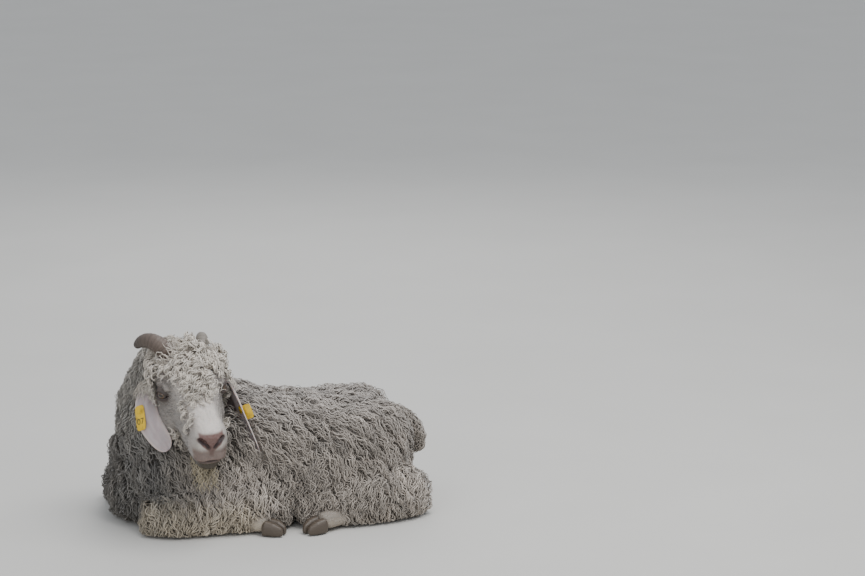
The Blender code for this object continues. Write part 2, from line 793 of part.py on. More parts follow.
def scattered(core, spacing_at, rng):
    """Points a clump's distance apart over the fleeced part of core, with their normals."""
    mesh = core.data
    mesh.calc_loop_triangles()
    corners = [tuple(mesh.vertices[i].co.copy() for i in tri.vertices) for tri in mesh.loop_triangles]
    totals = np.cumsum([(b - a).cross(c - a).length for a, b, c in corners])
    chosen = []
    taken = np.empty((0, 3))
    reach = np.empty(0)
    for _ in range(SAMPLES):
        k = int(np.searchsorted(totals, rng.uniform(0.0, float(totals[-1]))))
        a, b, c = corners[min(k, len(corners) - 1)]
        u, v = rng.random(), rng.random()
        if u + v > 1:
            u, v = 1 - u, 1 - v
        point = a + (b - a) * u + (c - a) * v
        spacing = spacing_at(point)
        if spacing == 0.0:
            continue
        if len(taken) and (np.linalg.norm(taken - np.array(point), axis=1) < (reach + spacing) / 2).any():
            continue
        taken = np.vstack([taken, np.array(point)])
        reach = np.append(reach, spacing)
        chosen.append((point, (b - a).cross(c - a).normalized(), spacing))
    return chosen


def body_spacing(point):
    """The distance between clumps on the body, or 0 where the head or the floor is in the way."""
    local = HEAD.inverted() @ point
    by_head = local.x > -0.085 and abs(local.y) < 0.085 and abs(local.z) < 0.10
    return 0.0 if by_head or point.z < 0.012 else BODY_SPACING


def head_spacing(point):
    """The distance between clumps on the head, or 0 where its coat is short."""
    local = HEAD.inverted() @ point
    f, out, u = local.x, abs(local.y), local.z
    topknot = u > 0.026 and f < 0.050 and (out < 0.042 or f < -0.034)
    behind = f < -0.044 and u > -0.085
    return HEAD_SPACING if f > -0.10 and (topknot or behind) else 0.0


def body_lie(point):
    """Down the flank, back towards the tail and a little outwards."""
    return Vector((0.45, 0.25 * math.copysign(1.0, point.y), -1.0))


def head_lie(point):
    """Over the forehead and down the cheeks."""
    across = (HEAD.inverted() @ point).y
    return HEAD.to_3x3() @ Vector((0.55, 9.0 * across, -0.6))


MATERIALS = {
    "mohair": ((0.60, 0.55, 0.46), 0.9),
    "face_hair": ((0.80, 0.76, 0.70), 0.8),
    "ear_skin": ((0.62, 0.48, 0.45), 0.7),
    "horn": ((0.36, 0.27, 0.21), 0.55),
    "hoof": ((0.14, 0.11, 0.09), 0.5),
    "eye": ((0.10, 0.06, 0.03), 0.15),
    "tag_plastic": ((0.85, 0.62, 0.04), 0.45),
}


def finish(obj, name, material):
    """The node's name and its own material."""
    colour, roughness = MATERIALS[material]
    obj.name = name
    obj.data.name = name
    obj.data.materials.clear()
    stuff = bpy.data.materials.new(name + "_" + material)
    stuff.use_nodes = True
    shader = stuff.node_tree.nodes["Principled BSDF"]
    shader.inputs["Base Color"].default_value = (*colour, 1.0)
    shader.inputs["Roughness"].default_value = roughness
    obj.data.materials.append(stuff)
    return obj


def separate_parts():
    """Name, material, the shapes and the shapes grown by the gap, of each part that is not fleece."""
    parts = []
    ears = {
        "left": (ear_frames(EAR_LEFT, 1, CUP_LEFT), TAG_LEFT, HORN_LEFT),
        "right": (ear_frames(EAR_RIGHT, -1, CUP_RIGHT), TAG_RIGHT, HORN_RIGHT),
    }
    for name, side in (("left", 1), ("right", -1)):
        frames, sizes, curl = ears[name]
        parts.append(("horn_" + name, "horn", [horn(curl, side)], [horn(curl, side, GAP)], HEAD))
        parts.append(("eye_" + name, "eye", [eyeball(side)], [], HEAD))
        parts.append(("ear_" + name, "ear_skin", [ear(frames)], [ear(frames, GAP)], HEAD))
        parts.append(("ear_tag_" + name, "tag_plastic", tag(frames, sizes), tag(frames, sizes, GAP), HEAD))
        for leg, cannon, reach in (("fore", FORE_CANNON, RIGHT_REACH), ("hind", HIND_CANNON, 0.0)):
            pairs = zip(("inner", "outer"), claws(cannon, side, reach), claws(cannon, side, reach, GAP))
            for place, shape, wider in pairs:
                parts.append((f"claw_{leg}_{name}_{place}", "hoof", [shape], [wider], None))
    parts.append(("tail", "mohair", tail(), tail(GAP), None))
    parts.append(("beard", "mohair", beard(), beard(GAP), HEAD))
    return parts


def fused(name, shapes, matrix=None):
    """One solid from overlapping closed shapes."""
    pieces = [solid(name, shape, matrix=matrix) for shape in shapes]
    if len(pieces) > 1:
        boolean(pieces[0], pieces[1:], "UNION")
    return largest_body(pieces[0])


def cut_away(obj, shapes, matrix):
    """obj less these shapes."""
    if shapes:
        boolean(obj, [solid("cut", shape, matrix=matrix) for shape in shapes], "DIFFERENCE")


def lower_legs():
    legs = []
    for cannon, reach in ((FORE_CANNON, RIGHT_REACH), (HIND_CANNON, 0.0)):
        legs.append(solid("cannon", loft(cannon, sides=10)))
        legs.append(solid("cannon", loft(mirrored(cannon, reach), sides=10)))
    return legs


def flesh(grow):
    """Trunk, neck and upper legs as one skin, thicker by grow."""
    shapes = [loft(TRUNK, grow=grow, power=2.1), loft(NECK, grow=grow * 0.9)]
    shapes.append(ellipsoid(BRISKET[0], [radius + grow for radius in BRISKET[1]]))
    for limb, reach in ((HAUNCH, 0.0), (SHANK, 0.0), (SHOULDER, 0.0), (UPPER_ARM, 0.0), (FOREARM, RIGHT_REACH)):
        shapes.append(loft(limb, grow=grow))
        shapes.append(loft(mirrored(limb, reach), grow=grow))
    return skinned(solid("flesh", *shapes), 0.010, 8, 2400)


# The nodes parted from the whole by planes, in this order: name, material and planes.
HEAD_BACK = HEAD @ Vector((-0.088, 0.0, 0.0))
PARTS_OF_WHOLE = [
    ("head", "face_hair", [
        (HEAD_BACK, HEAD.to_3x3() @ Vector((1, 0, 0))), ((0, -0.06, 0.235), (0, -0.41, 0.91)),
        ((-0.085, 0, 0), (-1, 0, 0)), ((-0.37, 0, 0), (1, 0, 0))]),
    ("neck", "mohair", [((-0.13, 0, 0.262), (-0.55, 0, 0.835))]),
    ("foreleg_left", "mohair", [((0, -0.105, 0), (0, -1, 0)), ((0.028, 0, 0), (-1, 0, 0)),
                                ((0, 0, 0.215), (0, 0, -1))]),
    ("foreleg_right", "mohair", [((0, 0.105, 0), (0, 1, 0)), ((0.028, 0, 0), (-1, 0, 0)),
                                 ((0, 0, 0.215), (0, 0, -1))]),
    ("hindleg_left", "mohair", [((0, -0.115, 0), (0, -1, 0)), ((0.028, 0, 0), (1, 0, 0)),
                                ((0, 0, 0.200), (0, 0, -1))]),
    ("hindleg_right", "mohair", [((0, 0.115, 0), (0, 1, 0)), ((0.028, 0, 0), (1, 0, 0)),
                                 ((0, 0, 0.200), (0, 0, -1))]),
    ("torso", "mohair", [((0, 0, 0), (0, 0, 1))]),
]


def main():
    for obj in list(bpy.data.objects):
        bpy.data.objects.remove(obj)
    rng = random.Random(SEED)
    whole = flesh(CORE_DEPTH)
    clumps = fleece(whole, body_spacing, body_lie, COAT_DEPTH - CORE_DEPTH, rng)
    boolean(whole, clumps + lower_legs(), "UNION")
    thinned(largest_body(whole), BODY_TRIANGLES)
    head = head_skin(HEAD_CORE)
    boolean(head, fleece(head, head_spacing, head_lie, HEAD_COAT - HEAD_CORE, rng), "UNION")
    boolean(whole, [thinned(largest_body(head), HEAD_TRIANGLES)], "UNION")
    above = ((0, 0, 0), (0, 0, 1))
    boolean(whole, [region("above_floor", [above])], "INTERSECT")
    nodes = []
    for name, material, shapes, wider, matrix in separate_parts():
        part = fused(name, shapes, matrix)
        if name.startswith("claw"):
            boolean(part, [region("above_floor", [above])], "INTERSECT")
        cut_away(whole, wider, matrix)
        if name.startswith("ear_tag"):
            cut_away(nodes[-1], wider, matrix)
        nodes.append(finish(part, name, material))
    for name, material, planes in PARTS_OF_WHOLE:
        node = part_off(whole, name, planes)
        if name == "head":
            face_details(node)
        nodes.append(finish(node, name, material))
    remove(whole)
    settle(nodes)


def settle(nodes):
    """All nodes brought to life size, with the bottom centre of their box at the origin."""
    for obj in nodes:
        obj.data.transform(Matrix.Scale(LIFE_SIZE, 4))
    points = np.array([corner.co[:] for obj in nodes for corner in obj.data.vertices])
    low, high = points.min(axis=0), points.max(axis=0)
    shift = Vector((-(low[0] + high[0]) / 2, -(low[1] + high[1]) / 2, -low[2]))
    for obj in nodes:
        obj.data.transform(Matrix.Translation(shift))


main()
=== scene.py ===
# %% [markdown]
# # An Angora goat at rest in full curly fleece
# The goat's solids come packed from CAD and stay where they are. This script dresses them: one
# smooth skin, a sculpted face, eyes, horns, ears and hooves, and a coat of mohair locks that are
# real meshes. Its measures are the ones that the solids were made from.

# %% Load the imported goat
import itertools
import math

import bmesh
import bpy
import numpy as np
from mathutils import Matrix, Vector, noise
from mathutils.bvhtree import BVHTree
from mathutils.kdtree import KDTree


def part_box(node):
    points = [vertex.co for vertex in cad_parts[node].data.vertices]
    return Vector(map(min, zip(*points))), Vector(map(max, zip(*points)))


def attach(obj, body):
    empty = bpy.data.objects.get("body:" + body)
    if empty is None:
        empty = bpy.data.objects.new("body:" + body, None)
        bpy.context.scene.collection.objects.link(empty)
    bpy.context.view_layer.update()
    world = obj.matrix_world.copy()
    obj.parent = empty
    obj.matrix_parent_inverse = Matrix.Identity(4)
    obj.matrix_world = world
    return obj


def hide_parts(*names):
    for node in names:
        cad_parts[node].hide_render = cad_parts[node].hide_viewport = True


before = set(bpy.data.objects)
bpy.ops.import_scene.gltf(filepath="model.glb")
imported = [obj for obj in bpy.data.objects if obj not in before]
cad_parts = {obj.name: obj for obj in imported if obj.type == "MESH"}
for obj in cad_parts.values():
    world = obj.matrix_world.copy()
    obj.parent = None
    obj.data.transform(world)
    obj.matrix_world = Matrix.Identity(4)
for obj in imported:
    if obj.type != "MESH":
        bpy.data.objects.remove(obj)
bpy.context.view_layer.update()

# %% [markdown]
# ## The goat's own measures
# The body is a few rows of stations: the centre of each cross-section, its half width and its half
# height. The goat faces -X and its left side is towards -Y. The same rows made the solids.

# %% Body stations
LIFE_SIZE = 0.93  # the measures below are scaled by this in the end
CORE_DEPTH, COAT_DEPTH = 0.020, 0.044  # how far the fleece's core and its outside lie out from the rows
TRUNK = [
    (0.305, 0.000, 0.120, 0.045, 0.060), (0.275, 0.000, 0.118, 0.088, 0.088),
    (0.215, 0.000, 0.118, 0.122, 0.106), (0.120, 0.000, 0.116, 0.140, 0.112),
    (0.010, 0.000, 0.118, 0.148, 0.120), (-0.085, 0.000, 0.128, 0.135, 0.136),
    (-0.165, -0.004, 0.130, 0.112, 0.132), (-0.225, -0.006, 0.125, 0.098, 0.110),
    (-0.270, -0.006, 0.118, 0.078, 0.084), (-0.292, -0.006, 0.114, 0.045, 0.050),
]
NECK = [
    (-0.150, 0.000, 0.130, 0.085, 0.090), (-0.200, 0.004, 0.200, 0.078, 0.088),
    (-0.212, -0.002, 0.262, 0.068, 0.076), (-0.206, -0.028, 0.312, 0.062, 0.068),
    (-0.196, -0.060, 0.346, 0.056, 0.062),
]
BRISKET = ((-0.240, 0.012, 0.070), (0.075, 0.105, 0.075))
HAUNCH = [
    (0.268, -0.050, 0.188, 0.028, 0.040), (0.242, -0.080, 0.160, 0.046, 0.070),
    (0.190, -0.110, 0.126, 0.053, 0.086), (0.130, -0.130, 0.096, 0.049, 0.070),
    (0.086, -0.138, 0.080, 0.032, 0.046),
]
SHANK = [
    (0.090, -0.140, 0.058, 0.034, 0.042), (0.190, -0.150, 0.050, 0.036, 0.040),
    (0.290, -0.128, 0.042, 0.030, 0.038), (0.322, -0.118, 0.040, 0.018, 0.024),
]
SHOULDER = [
    (-0.070, -0.056, 0.222, 0.022, 0.042), (-0.108, -0.080, 0.190, 0.034, 0.058),
    (-0.165, -0.098, 0.150, 0.041, 0.062), (-0.222, -0.100, 0.112, 0.040, 0.052),
    (-0.248, -0.096, 0.094, 0.025, 0.034),
]
UPPER_ARM = [
    (-0.235, -0.100, 0.106, 0.030, 0.040), (-0.180, -0.112, 0.096, 0.038, 0.050),
    (-0.100, -0.126, 0.080, 0.038, 0.048), (-0.030, -0.134, 0.062, 0.030, 0.040),
    (-0.004, -0.136, 0.056, 0.018, 0.024),
]
FOREARM = [
    (0.000, -0.138, 0.052, 0.026, 0.034), (-0.080, -0.148, 0.048, 0.034, 0.038),
    (-0.180, -0.148, 0.040, 0.029, 0.032), (-0.240, -0.142, 0.034, 0.028, 0.028),
    (-0.262, -0.138, 0.032, 0.016, 0.016),
]
RIGHT_REACH = -0.030
FORE_CANNON = [
    (-0.225, -0.122, 0.032, 0.020, 0.022), (-0.160, -0.142, 0.022, 0.015, 0.017),
    (-0.090, -0.172, 0.021, 0.014, 0.016), (-0.050, -0.196, 0.022, 0.019, 0.019),
    (-0.028, -0.212, 0.021, 0.017, 0.016),
]
HIND_CANNON = [
    (0.300, -0.130, 0.037, 0.022, 0.026), (0.240, -0.158, 0.023, 0.017, 0.018),
    (0.160, -0.192, 0.022, 0.015, 0.017), (0.115, -0.212, 0.023, 0.020, 0.020),
    (0.090, -0.224, 0.022, 0.018, 0.017),
]
CLAW_LENGTH, CLAW_WIDTH, CLAW_HEIGHT, CLEFT, CLAW_SUNK = 0.042, 0.0115, 0.0175, 0.0018, 0.0018
TAIL = [
    (0.285, 0.000, 0.196, 0.020, 0.018), (0.330, 0.002, 0.186, 0.019, 0.016),
    (0.362, 0.006, 0.150, 0.016, 0.014), (0.368, 0.010, 0.118, 0.010, 0.009),
]
TAIL_CORE = 0.004  # how far the tail's skin lies out from its rows
print("stations:", len(TRUNK), "in the trunk,", len(NECK), "in the neck")

# %% [markdown]
# ## The head has axes of its own
# A face is easier to shape when forwards, sideways and upwards belong to the head. One matrix then
# turns it to where the goat looks. The first column of each station is the distance forwards from
# the eyes, and the second is the height.

# %% Head stations
HEAD_EYES = Vector((-0.180, -0.150, 0.312))
HEAD_YAW, HEAD_PITCH, HEAD_ROLL = math.radians(85.5), math.radians(18.0), math.radians(3.5)
SKULL = [
    (-0.098, 0.012, 0.042, 0.042), (-0.072, 0.008, 0.064, 0.064),
    (-0.032, -0.006, 0.071, 0.075), (0.004, -0.013, 0.066, 0.073),
    (0.030, -0.017, 0.054, 0.066), (0.056, -0.021, 0.048, 0.058),
    (0.100, -0.028, 0.042, 0.050), (0.138, -0.034, 0.042, 0.050),
    (0.159, -0.036, 0.035, 0.043), (0.170, -0.037, 0.022, 0.029),
]
JAW = [
    (-0.050, -0.056, 0.042, 0.038), (0.000, -0.070, 0.040, 0.030),
    (0.067, -0.078, 0.032, 0.025), (0.118, -0.083, 0.029, 0.023),
    (0.146, -0.084, 0.022, 0.018), (0.157, -0.083, 0.013, 0.010),
]
TOPKNOT = [
    (-0.110, 0.020, 0.046, 0.040), (-0.085, 0.026, 0.064, 0.042),
    (-0.045, 0.030, 0.070, 0.046), (0.000, 0.024, 0.056, 0.040),
    (0.030, 0.018, 0.042, 0.028), (0.050, 0.010, 0.026, 0.018),
]
CHEEK = ((-0.012, 0.046, -0.048), (0.052, 0.026, 0.042))
UPPER_LIP = ((0.149, 0.016, -0.056), (0.022, 0.020, 0.019))
NOSE_PAD = ((0.158, 0.0, -0.014), (0.014, 0.026, 0.020))
BROW = ((-0.004, 0.060, 0.031), (0.028, 0.017, 0.011))
ORBIT = ((-0.006, 0.050, 0.008), (0.034, 0.022, 0.030))
EYE_AT = Vector((0.002, 0.0630, 0.012))
EYE_RADIUS = 0.0150
EYE_LOOKS = Vector((0.62, 0.75, 0.20))


def head_frame():
    """The matrix that carries the head's own axes into the goat's."""
    ahead = Vector((math.cos(HEAD_YAW), -math.sin(HEAD_YAW), 0.0))
    forward = math.cos(HEAD_PITCH) * ahead - math.sin(HEAD_PITCH) * Vector((0, 0, 1))
    level_left = Vector((-ahead.y, ahead.x, 0.0))
    level_up = forward.cross(level_left)
    left = math.cos(HEAD_ROLL) * level_left + math.sin(HEAD_ROLL) * level_up
    up = forward.cross(left)
    matrix = Matrix((forward, left, up)).transposed().to_4x4()
    matrix.translation = HEAD_EYES
    return matrix


HEAD = head_frame()
# The left eye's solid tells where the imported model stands.
low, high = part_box("eye_left")
PLACE = (Vector(low) + Vector(high)) / 2 - LIFE_SIZE * (HEAD @ EYE_AT)
GOAT = Matrix.Translation(PLACE) @ Matrix.Scale(LIFE_SIZE, 4)
print("the goat's own frame starts at", tuple(round(v, 4) for v in PLACE))

# %% [markdown]
# ## Making meshes
# Lofts and ellipsoids overlap one another like lumps of clay. A voxel remesh turns them into one
# closed skin, and a smooth modifier takes out the joins. Subdividing a hand-made cage would give
# neater faces, but the fleece hides them, and overlapping lumps are easy to change.

# %% Shape helpers


def spline(stations, count):
    """count stations along a smooth curve through the given ones, as an array."""
    rows = np.array(stations, dtype=float)
    ends = np.vstack([rows[:1], rows, rows[-1:]])
    place = np.linspace(0.0, len(rows) - 1, count)
    k = np.minimum(place.astype(int), len(rows) - 2)
    t = (place - k)[:, None]
    before, start, stop, after = (ends[k + n] for n in range(4))
    return 0.5 * (2 * start + (stop - before) * t + (2 * before - 5 * start + 4 * stop - after) * t**2
                  + (3 * start - before - 3 * stop + after) * t**3)


def unit(rows):
    """Each row at length one."""
    return rows / np.maximum(np.linalg.norm(rows, axis=-1, keepdims=True), 1e-9)


def circle(sides):
    """Evenly spread angles round a full turn."""
    return np.linspace(0, 2 * np.pi, sides, endpoint=False)


def rounded(sides, power):
    """Both coordinates of a ring that is an ellipse at power 2 and nears a box above it."""
    return [np.sign(wave) * np.abs(wave) ** (2 / power) for wave in (np.cos(circle(sides)), np.sin(circle(sides)))]


def tube(rings):
    """Points and faces of a closed tube through rings of equal length."""
    count, sides = rings.shape[:2]
    faces = [tuple(range(sides))[::-1]]
    for i in range(count - 1):
        for j in range(sides):
            k = (j + 1) % sides
            faces.append((i * sides + j, i * sides + k, (i + 1) * sides + k, (i + 1) * sides + j))
    last = (count - 1) * sides
    faces.append(tuple(range(last, last + sides)))
    return rings.reshape(-1, 3), faces


def loft(stations, grow=0.0, sides=36, power=2.3, smooth=4):
    """A closed form through the stations, made thicker by grow."""
    rows = spline(stations, smooth * len(stations)) if smooth else np.array(stations)
    centre = rows[:, :3]
    along = unit(np.gradient(centre, axis=0))
    centre[0] -= along[0] * grow
    centre[-1] += along[-1] * grow
    wide = unit(np.array((0.0, 1.0, 0.0)) - along * along[:, 1:2])
    tall = np.cross(wide, along)
    c, s = rounded(sides, power)
    rings = (centre[:, None] + wide[:, None] * ((rows[:, 3:4] + grow) * c)[:, :, None]
             + tall[:, None] * ((rows[:, 4:5] + grow) * s)[:, :, None])
    return tube(rings)


def ellipsoid(centre, radii, rings=20, sides=32):
    """A closed ellipsoid, round the first axis."""
    level = np.linspace(0.06, math.pi - 0.06, rings)
    turn = circle(sides)
    points = np.empty((rings, sides, 3))
    points[:, :, 0] = centre[0] - radii[0] * np.cos(level)[:, None]
    points[:, :, 1] = centre[1] + radii[1] * np.sin(level)[:, None] * np.cos(turn)
    points[:, :, 2] = centre[2] + radii[2] * np.sin(level)[:, None] * np.sin(turn)
    return tube(points)


def mirrored(stations, reach=0.0):
    """The same stations on the goat's right side, moved forwards by reach."""
    return [(x + reach, -y, z, wide, tall) for x, y, z, wide, tall in stations]


def sided(point, side):
    """A point given outwards, on the goat's left (side 1) or its right (side -1)."""
    return np.array((point[0], point[1] * side, point[2]))


def to_goat(points, matrix):
    """Points carried by a matrix."""
    turn = np.array(matrix.to_3x3())
    return points @ turn.T + np.array(matrix.translation)


print("forms can be lofted")

# %% [markdown]
# An object holds a mesh, and a mesh holds points and faces. Moving thousands of points one by one
# is slow, so they are read and written all at once as arrays.

# %% Mesh helpers


def new_object(name, data):
    """An object in the scene with this mesh, curve, lamp or camera."""
    obj = bpy.data.objects.new(name, data)
    bpy.context.scene.collection.objects.link(obj)
    return obj


def mesh_object(name, shapes, matrix=None):
    """One mesh object from a list of points-and-faces pairs, with every face pointing out."""
    points, faces, base = [], [], 0
    for shape_points, shape_faces in shapes:
        points.append(np.asarray(shape_points, dtype=float))
        faces += [tuple(base + i for i in face) for face in shape_faces]
        base += len(shape_points)
    points = np.vstack(points)
    if matrix is not None:
        points = to_goat(points, matrix)
    mesh = bpy.data.meshes.new(name)
    mesh.from_pydata(points.tolist(), [], faces)
    work = bmesh.new()
    work.from_mesh(mesh)
    bmesh.ops.recalc_face_normals(work, faces=work.faces)
    work.to_mesh(mesh)
    work.free()
    mesh.shade_smooth()
    return new_object(name, mesh)


def one_skin(name, shapes, voxel, rounds):
    """Overlapping forms as one smooth closed skin."""
    obj = mesh_object(name, shapes)
    remesh = obj.modifiers.new("one_skin", "REMESH")
    remesh.mode = "VOXEL"
    remesh.voxel_size = voxel
    soften = obj.modifiers.new("soften", "SMOOTH")
    soften.factor = 0.5
    soften.iterations = rounds
    bpy.context.view_layer.update()
    graph = bpy.context.evaluated_depsgraph_get()
    mesh = bpy.data.meshes.new_from_object(obj.evaluated_get(graph))
    obj.modifiers.clear()
    obj.data = mesh
    return obj


def points_of(mesh, kind="co"):
    """The coordinates or normals of a mesh's points, as an array."""
    found = np.empty(len(mesh.vertices) * 3)
    if kind == "co":
        mesh.vertices.foreach_get("co", found)
    else:
        mesh.vertex_normals.foreach_get("vector", found)
    return found.reshape(-1, 3)


def place_points(mesh, points):
    """The mesh with its points moved to new places."""
    mesh.vertices.foreach_set("co", np.asarray(points, dtype=np.float32).ravel())
    mesh.update()


def tree_of(obj):
    """A search tree that finds the place on obj nearest to any point."""
    return BVHTree.FromPolygons(points_of(obj.data).tolist(), [tuple(p.vertices) for p in obj.data.polygons])


def smoothstep(low_edge, high_edge, value):
    """0 below the low edge, 1 above the high edge, and a soft ramp between."""
    t = np.clip((value - low_edge) / (high_edge - low_edge), 0.0, 1.0)
    return t * t * (3 - 2 * t)


def noise_at(points, size, offset=0.0):
    """Smooth noise from about -1 to 1 at each point, one swell for each size in metres."""
    shift = Vector((offset, offset * 1.7, -offset))
    return np.array([noise.noise(Vector(p) / size + shift) for p in points])


print("mesh helpers are ready")

# %% [markdown]
# ## Colours and the node helper
# A colour is picked as it looks on a screen (sRGB hex) and the shaders want it linear, so one
# function turns it. One more function adds any node with its settings and links.

# %% Colour and node helpers


def linear(code):
    """An sRGB hex colour as linear red, green and blue."""
    parts = [int(code[i:i + 2], 16) / 255 for i in (1, 3, 5)]
    return np.array([p / 12.92 if p <= 0.04045 else ((p + 0.055) / 1.055) ** 2.4 for p in parts])


def add_node(tree, kind, values=None, links=None, **settings):
    """One node with its settings, its input values and its links."""
    made = tree.nodes.new(kind)
    for key, value in settings.items():
        setattr(made, key, value)
    for key, value in (values or {}).items():
        made.inputs[key].default_value = value
    for key, socket in (links or {}).items():
        tree.links.new(socket, made.inputs[key])
    return made


def new_material(name, **values):
    """A Principled material: its node tree and its shader."""
    material = bpy.data.materials.new(name)
    material.use_nodes = True
    shader = material.node_tree.nodes["Principled BSDF"]
    for key, value in values.items():
        shader.inputs[key.replace("_", " ")].default_value = value
    return material, material.node_tree, shader


def rgba(code):
    """An sRGB hex colour as a shader's four numbers."""
    return (*linear(code), 1.0)


def store_colour(mesh, colours, name="coat"):
    """Colours kept on the points of a mesh, for its material to read."""
    layer = mesh.color_attributes.new(name, "FLOAT_COLOR", "POINT")
    rows = np.ones((len(mesh.vertices), 4), dtype=np.float32)
    rows[:, :3] = colours
    layer.data.foreach_set("color", rows.ravel())


def store_value(mesh, name, values):
    """One number kept on each point of a mesh, for its material to read."""
    layer = mesh.attributes.new(name, "FLOAT", "POINT")
    layer.data.foreach_set("value", np.asarray(values, dtype=np.float32))


# The back's lighter tone is painted light from above, and the chest's darker tone is painted shade. The forearm's
# cream is partly its own stain and partly painted light.
FLEECE = {
    "flank": linear("#9b9288"), "back": linear("#a8a098"), "chest": linear("#6b6761"),
    "forearm": linear("#c0b39c"), "dirty": linear("#7d705b"), "topknot": linear("#d6cdc0"),
    "neck": linear("#a19c94"), "beard": linear("#94886f"),
}
print("fleece tones:", ", ".join(FLEECE))

# %% [markdown]
# ## The skin
# Under the fleece one skin covers trunk, neck and legs, just below the fleece's solid core. The
# head's skin needs far smaller faces, so it is remeshed on its own and joined on. A second body
# form, never shown, marks where the fleece's solid core ends: the locks are laid over that one.

# %% Body and head skins
SKIN_DEPTH, TOPKNOT_HAIR = 0.018, 0.006
BODY_VOXEL, SKIN_VOXEL, FACE_VOXEL = 0.010, 0.0065, 0.00175


def flesh(grow):
    """Trunk, neck and upper legs, thicker by grow."""
    shapes = [loft(TRUNK, grow, power=2.1), loft(NECK, grow * 0.9)]
    shapes.append(ellipsoid(BRISKET[0], [radius + grow for radius in BRISKET[1]]))
    for limb in (HAUNCH, SHANK, SHOULDER, UPPER_ARM, FOREARM):
        reach = RIGHT_REACH if limb is FOREARM else 0.0
        shapes += [loft(limb, grow), loft(mirrored(limb, reach), grow)]
    return shapes


def lower_legs():
    """The four cannons and pasterns, under short hair."""
    legs = []
    for cannon, reach in ((FORE_CANNON, RIGHT_REACH), (HIND_CANNON, 0.0)):
        legs += [loft(cannon, 0.0), loft(mirrored(cannon, reach), 0.0)]
    return legs


def head_lofts(grow):
    """The head in its own axes, with the topknot grown by its hair."""
    shapes = []
    for rows, more in ((SKULL, 0.0), (JAW, 0.0), (TOPKNOT, grow)):
        shapes.append(loft([(f, 0.0, u, wide, tall) for f, u, wide, tall in rows], more, sides=64))
    shapes.append(ellipsoid(*NOSE_PAD))
    for side in (1, -1):
        for centre, radii in (CHEEK, UPPER_LIP, BROW, ORBIT):
            shapes.append(ellipsoid(sided(centre, side), radii))
    return shapes


def on_floor(obj, least=0.0008):
    """Points below the floor are lifted on to it, as flesh that rests there is pressed flat."""
    points = points_of(obj.data)
    points[:, 2] = np.maximum(points[:, 2], least)
    place_points(obj.data, points)


core = one_skin("core", flesh(CORE_DEPTH), BODY_VOXEL, 8)
skin = one_skin("skin", flesh(SKIN_DEPTH) + lower_legs() + [loft(TAIL, TAIL_CORE)], SKIN_VOXEL, 6)
on_floor(core)
on_floor(skin)
face = one_skin("face", head_lofts(TOPKNOT_HAIR), FACE_VOXEL, 9)
print("skin faces:", len(skin.data.polygons), "head faces:", len(face.data.polygons))

# %% [markdown]
# ## Sculpting the face
# Nostrils, mouth and lips are grooves and ridges along short lines. Each point of the skin is moved
# along its normal by an amount that fades with its distance from the line, as a modelling tool
# pressed into clay would leave it. A Boolean would cut hard rims, which no living lip has.

# %% Face sculpting


def line_distance(points, line):
    """The distance from each point to a line of short segments."""
    best = np.full(len(points), 1.0)
    line = np.array(line, dtype=float)
    for start, stop in zip(line[:-1], line[1:]):
        way = stop - start
        share = np.clip((points - start) @ way / (way @ way), 0.0, 1.0)
        best = np.minimum(best, np.linalg.norm(points - start - share[:, None] * way, axis=1))
    return best


def fade(points, line, width):
    """1 on a line, falling nearly to 0 at twice the width beside it."""
    return np.exp(-(line_distance(points, line) / width) ** 2)


def on_side(line, side):
    """A line of points given outwards, on the goat's left (side 1) or its right (side -1)."""
    return [sided(point, side) for point in line]


def pressed(points, normals, line, width, depth):
    """Points moved along their normals near a line: a groove if depth is negative."""
    return points + normals * (depth * fade(points, line, width))[:, None]


NOSTRIL_LINE = [(0.1740, 0.0065, -0.0330), (0.1735, 0.0100, -0.0270), (0.1715, 0.0150, -0.0200),
                (0.1660, 0.0205, -0.0150), (0.1590, 0.0240, -0.0140)]
NOSTRIL_BOWL = [(0.1690, 0.0180, -0.0175), (0.1630, 0.0225, -0.0145)]
MOUTH_LINE = [(0.092, -0.0520), (0.104, -0.0585), (0.122, -0.0655), (0.150, -0.0690), (0.184, -0.0690)]
MOUTH = [(f, 0.0, u) for f, u in MOUTH_LINE]
MOUTH_FOLDS = ((0.0052, 0.0044, 0.0020), (-0.0078, 0.0060, 0.0052), (0.0, 0.0022, -0.0085))  # height, width, depth
PHILTRUM = [(0.178, 0.0, -0.030), (0.178, 0.0, -0.048), (0.172, 0.0, -0.070)]
CHEEK_CREST = ((0.020, 0.060, -0.022), (0.060, 0.047, -0.032), (0.098, 0.041, -0.038))
CHEEK_HOLLOW = ((0.040, 0.052, -0.002), (0.080, 0.042, -0.008), (0.120, 0.040, -0.016))

smooth_face = tree_of(face)
NOSTRIL_LINE, NOSTRIL_BOWL = ([tuple(smooth_face.find_nearest(Vector(p))[0]) for p in line]
                              for line in (NOSTRIL_LINE, NOSTRIL_BOWL))
points = points_of(face.data)
for side in (1, -1):
    nostril, bowl = on_side(NOSTRIL_LINE, side), on_side(NOSTRIL_BOWL, side)
    points = pressed(points, points_of(face.data, "normals"), nostril, 0.0062, 0.0016)
    place_points(face.data, points)
    normals = points_of(face.data, "normals")
    inwards = unit(-0.55 * normals + 0.25 * np.array((-1.0, -0.8 * side, 0.25)))
    depth = 0.0060 * fade(points, nostril, 0.0030) + 0.0100 * fade(points, bowl, 0.0046)
    points = points + inwards * depth[:, None]
    points = pressed(points, normals, on_side(CHEEK_CREST, side), 0.010, 0.0022)
    points = pressed(points, normals, on_side(CHEEK_HOLLOW, side), 0.010, -0.0024)
    place_points(face.data, points)
normals = points_of(face.data, "normals")
flat = points * (1.0, 0.0, 1.0)
for shift, width, depth in MOUTH_FOLDS:
    moved = depth * fade(flat - (0.0, 0.0, shift), MOUTH, width) * smoothstep(0.080, 0.094, points[:, 0])
    points = points + normals * moved[:, None]
points = pressed(points, normals, PHILTRUM, 0.0017, -0.0030)
place_points(face.data, points)
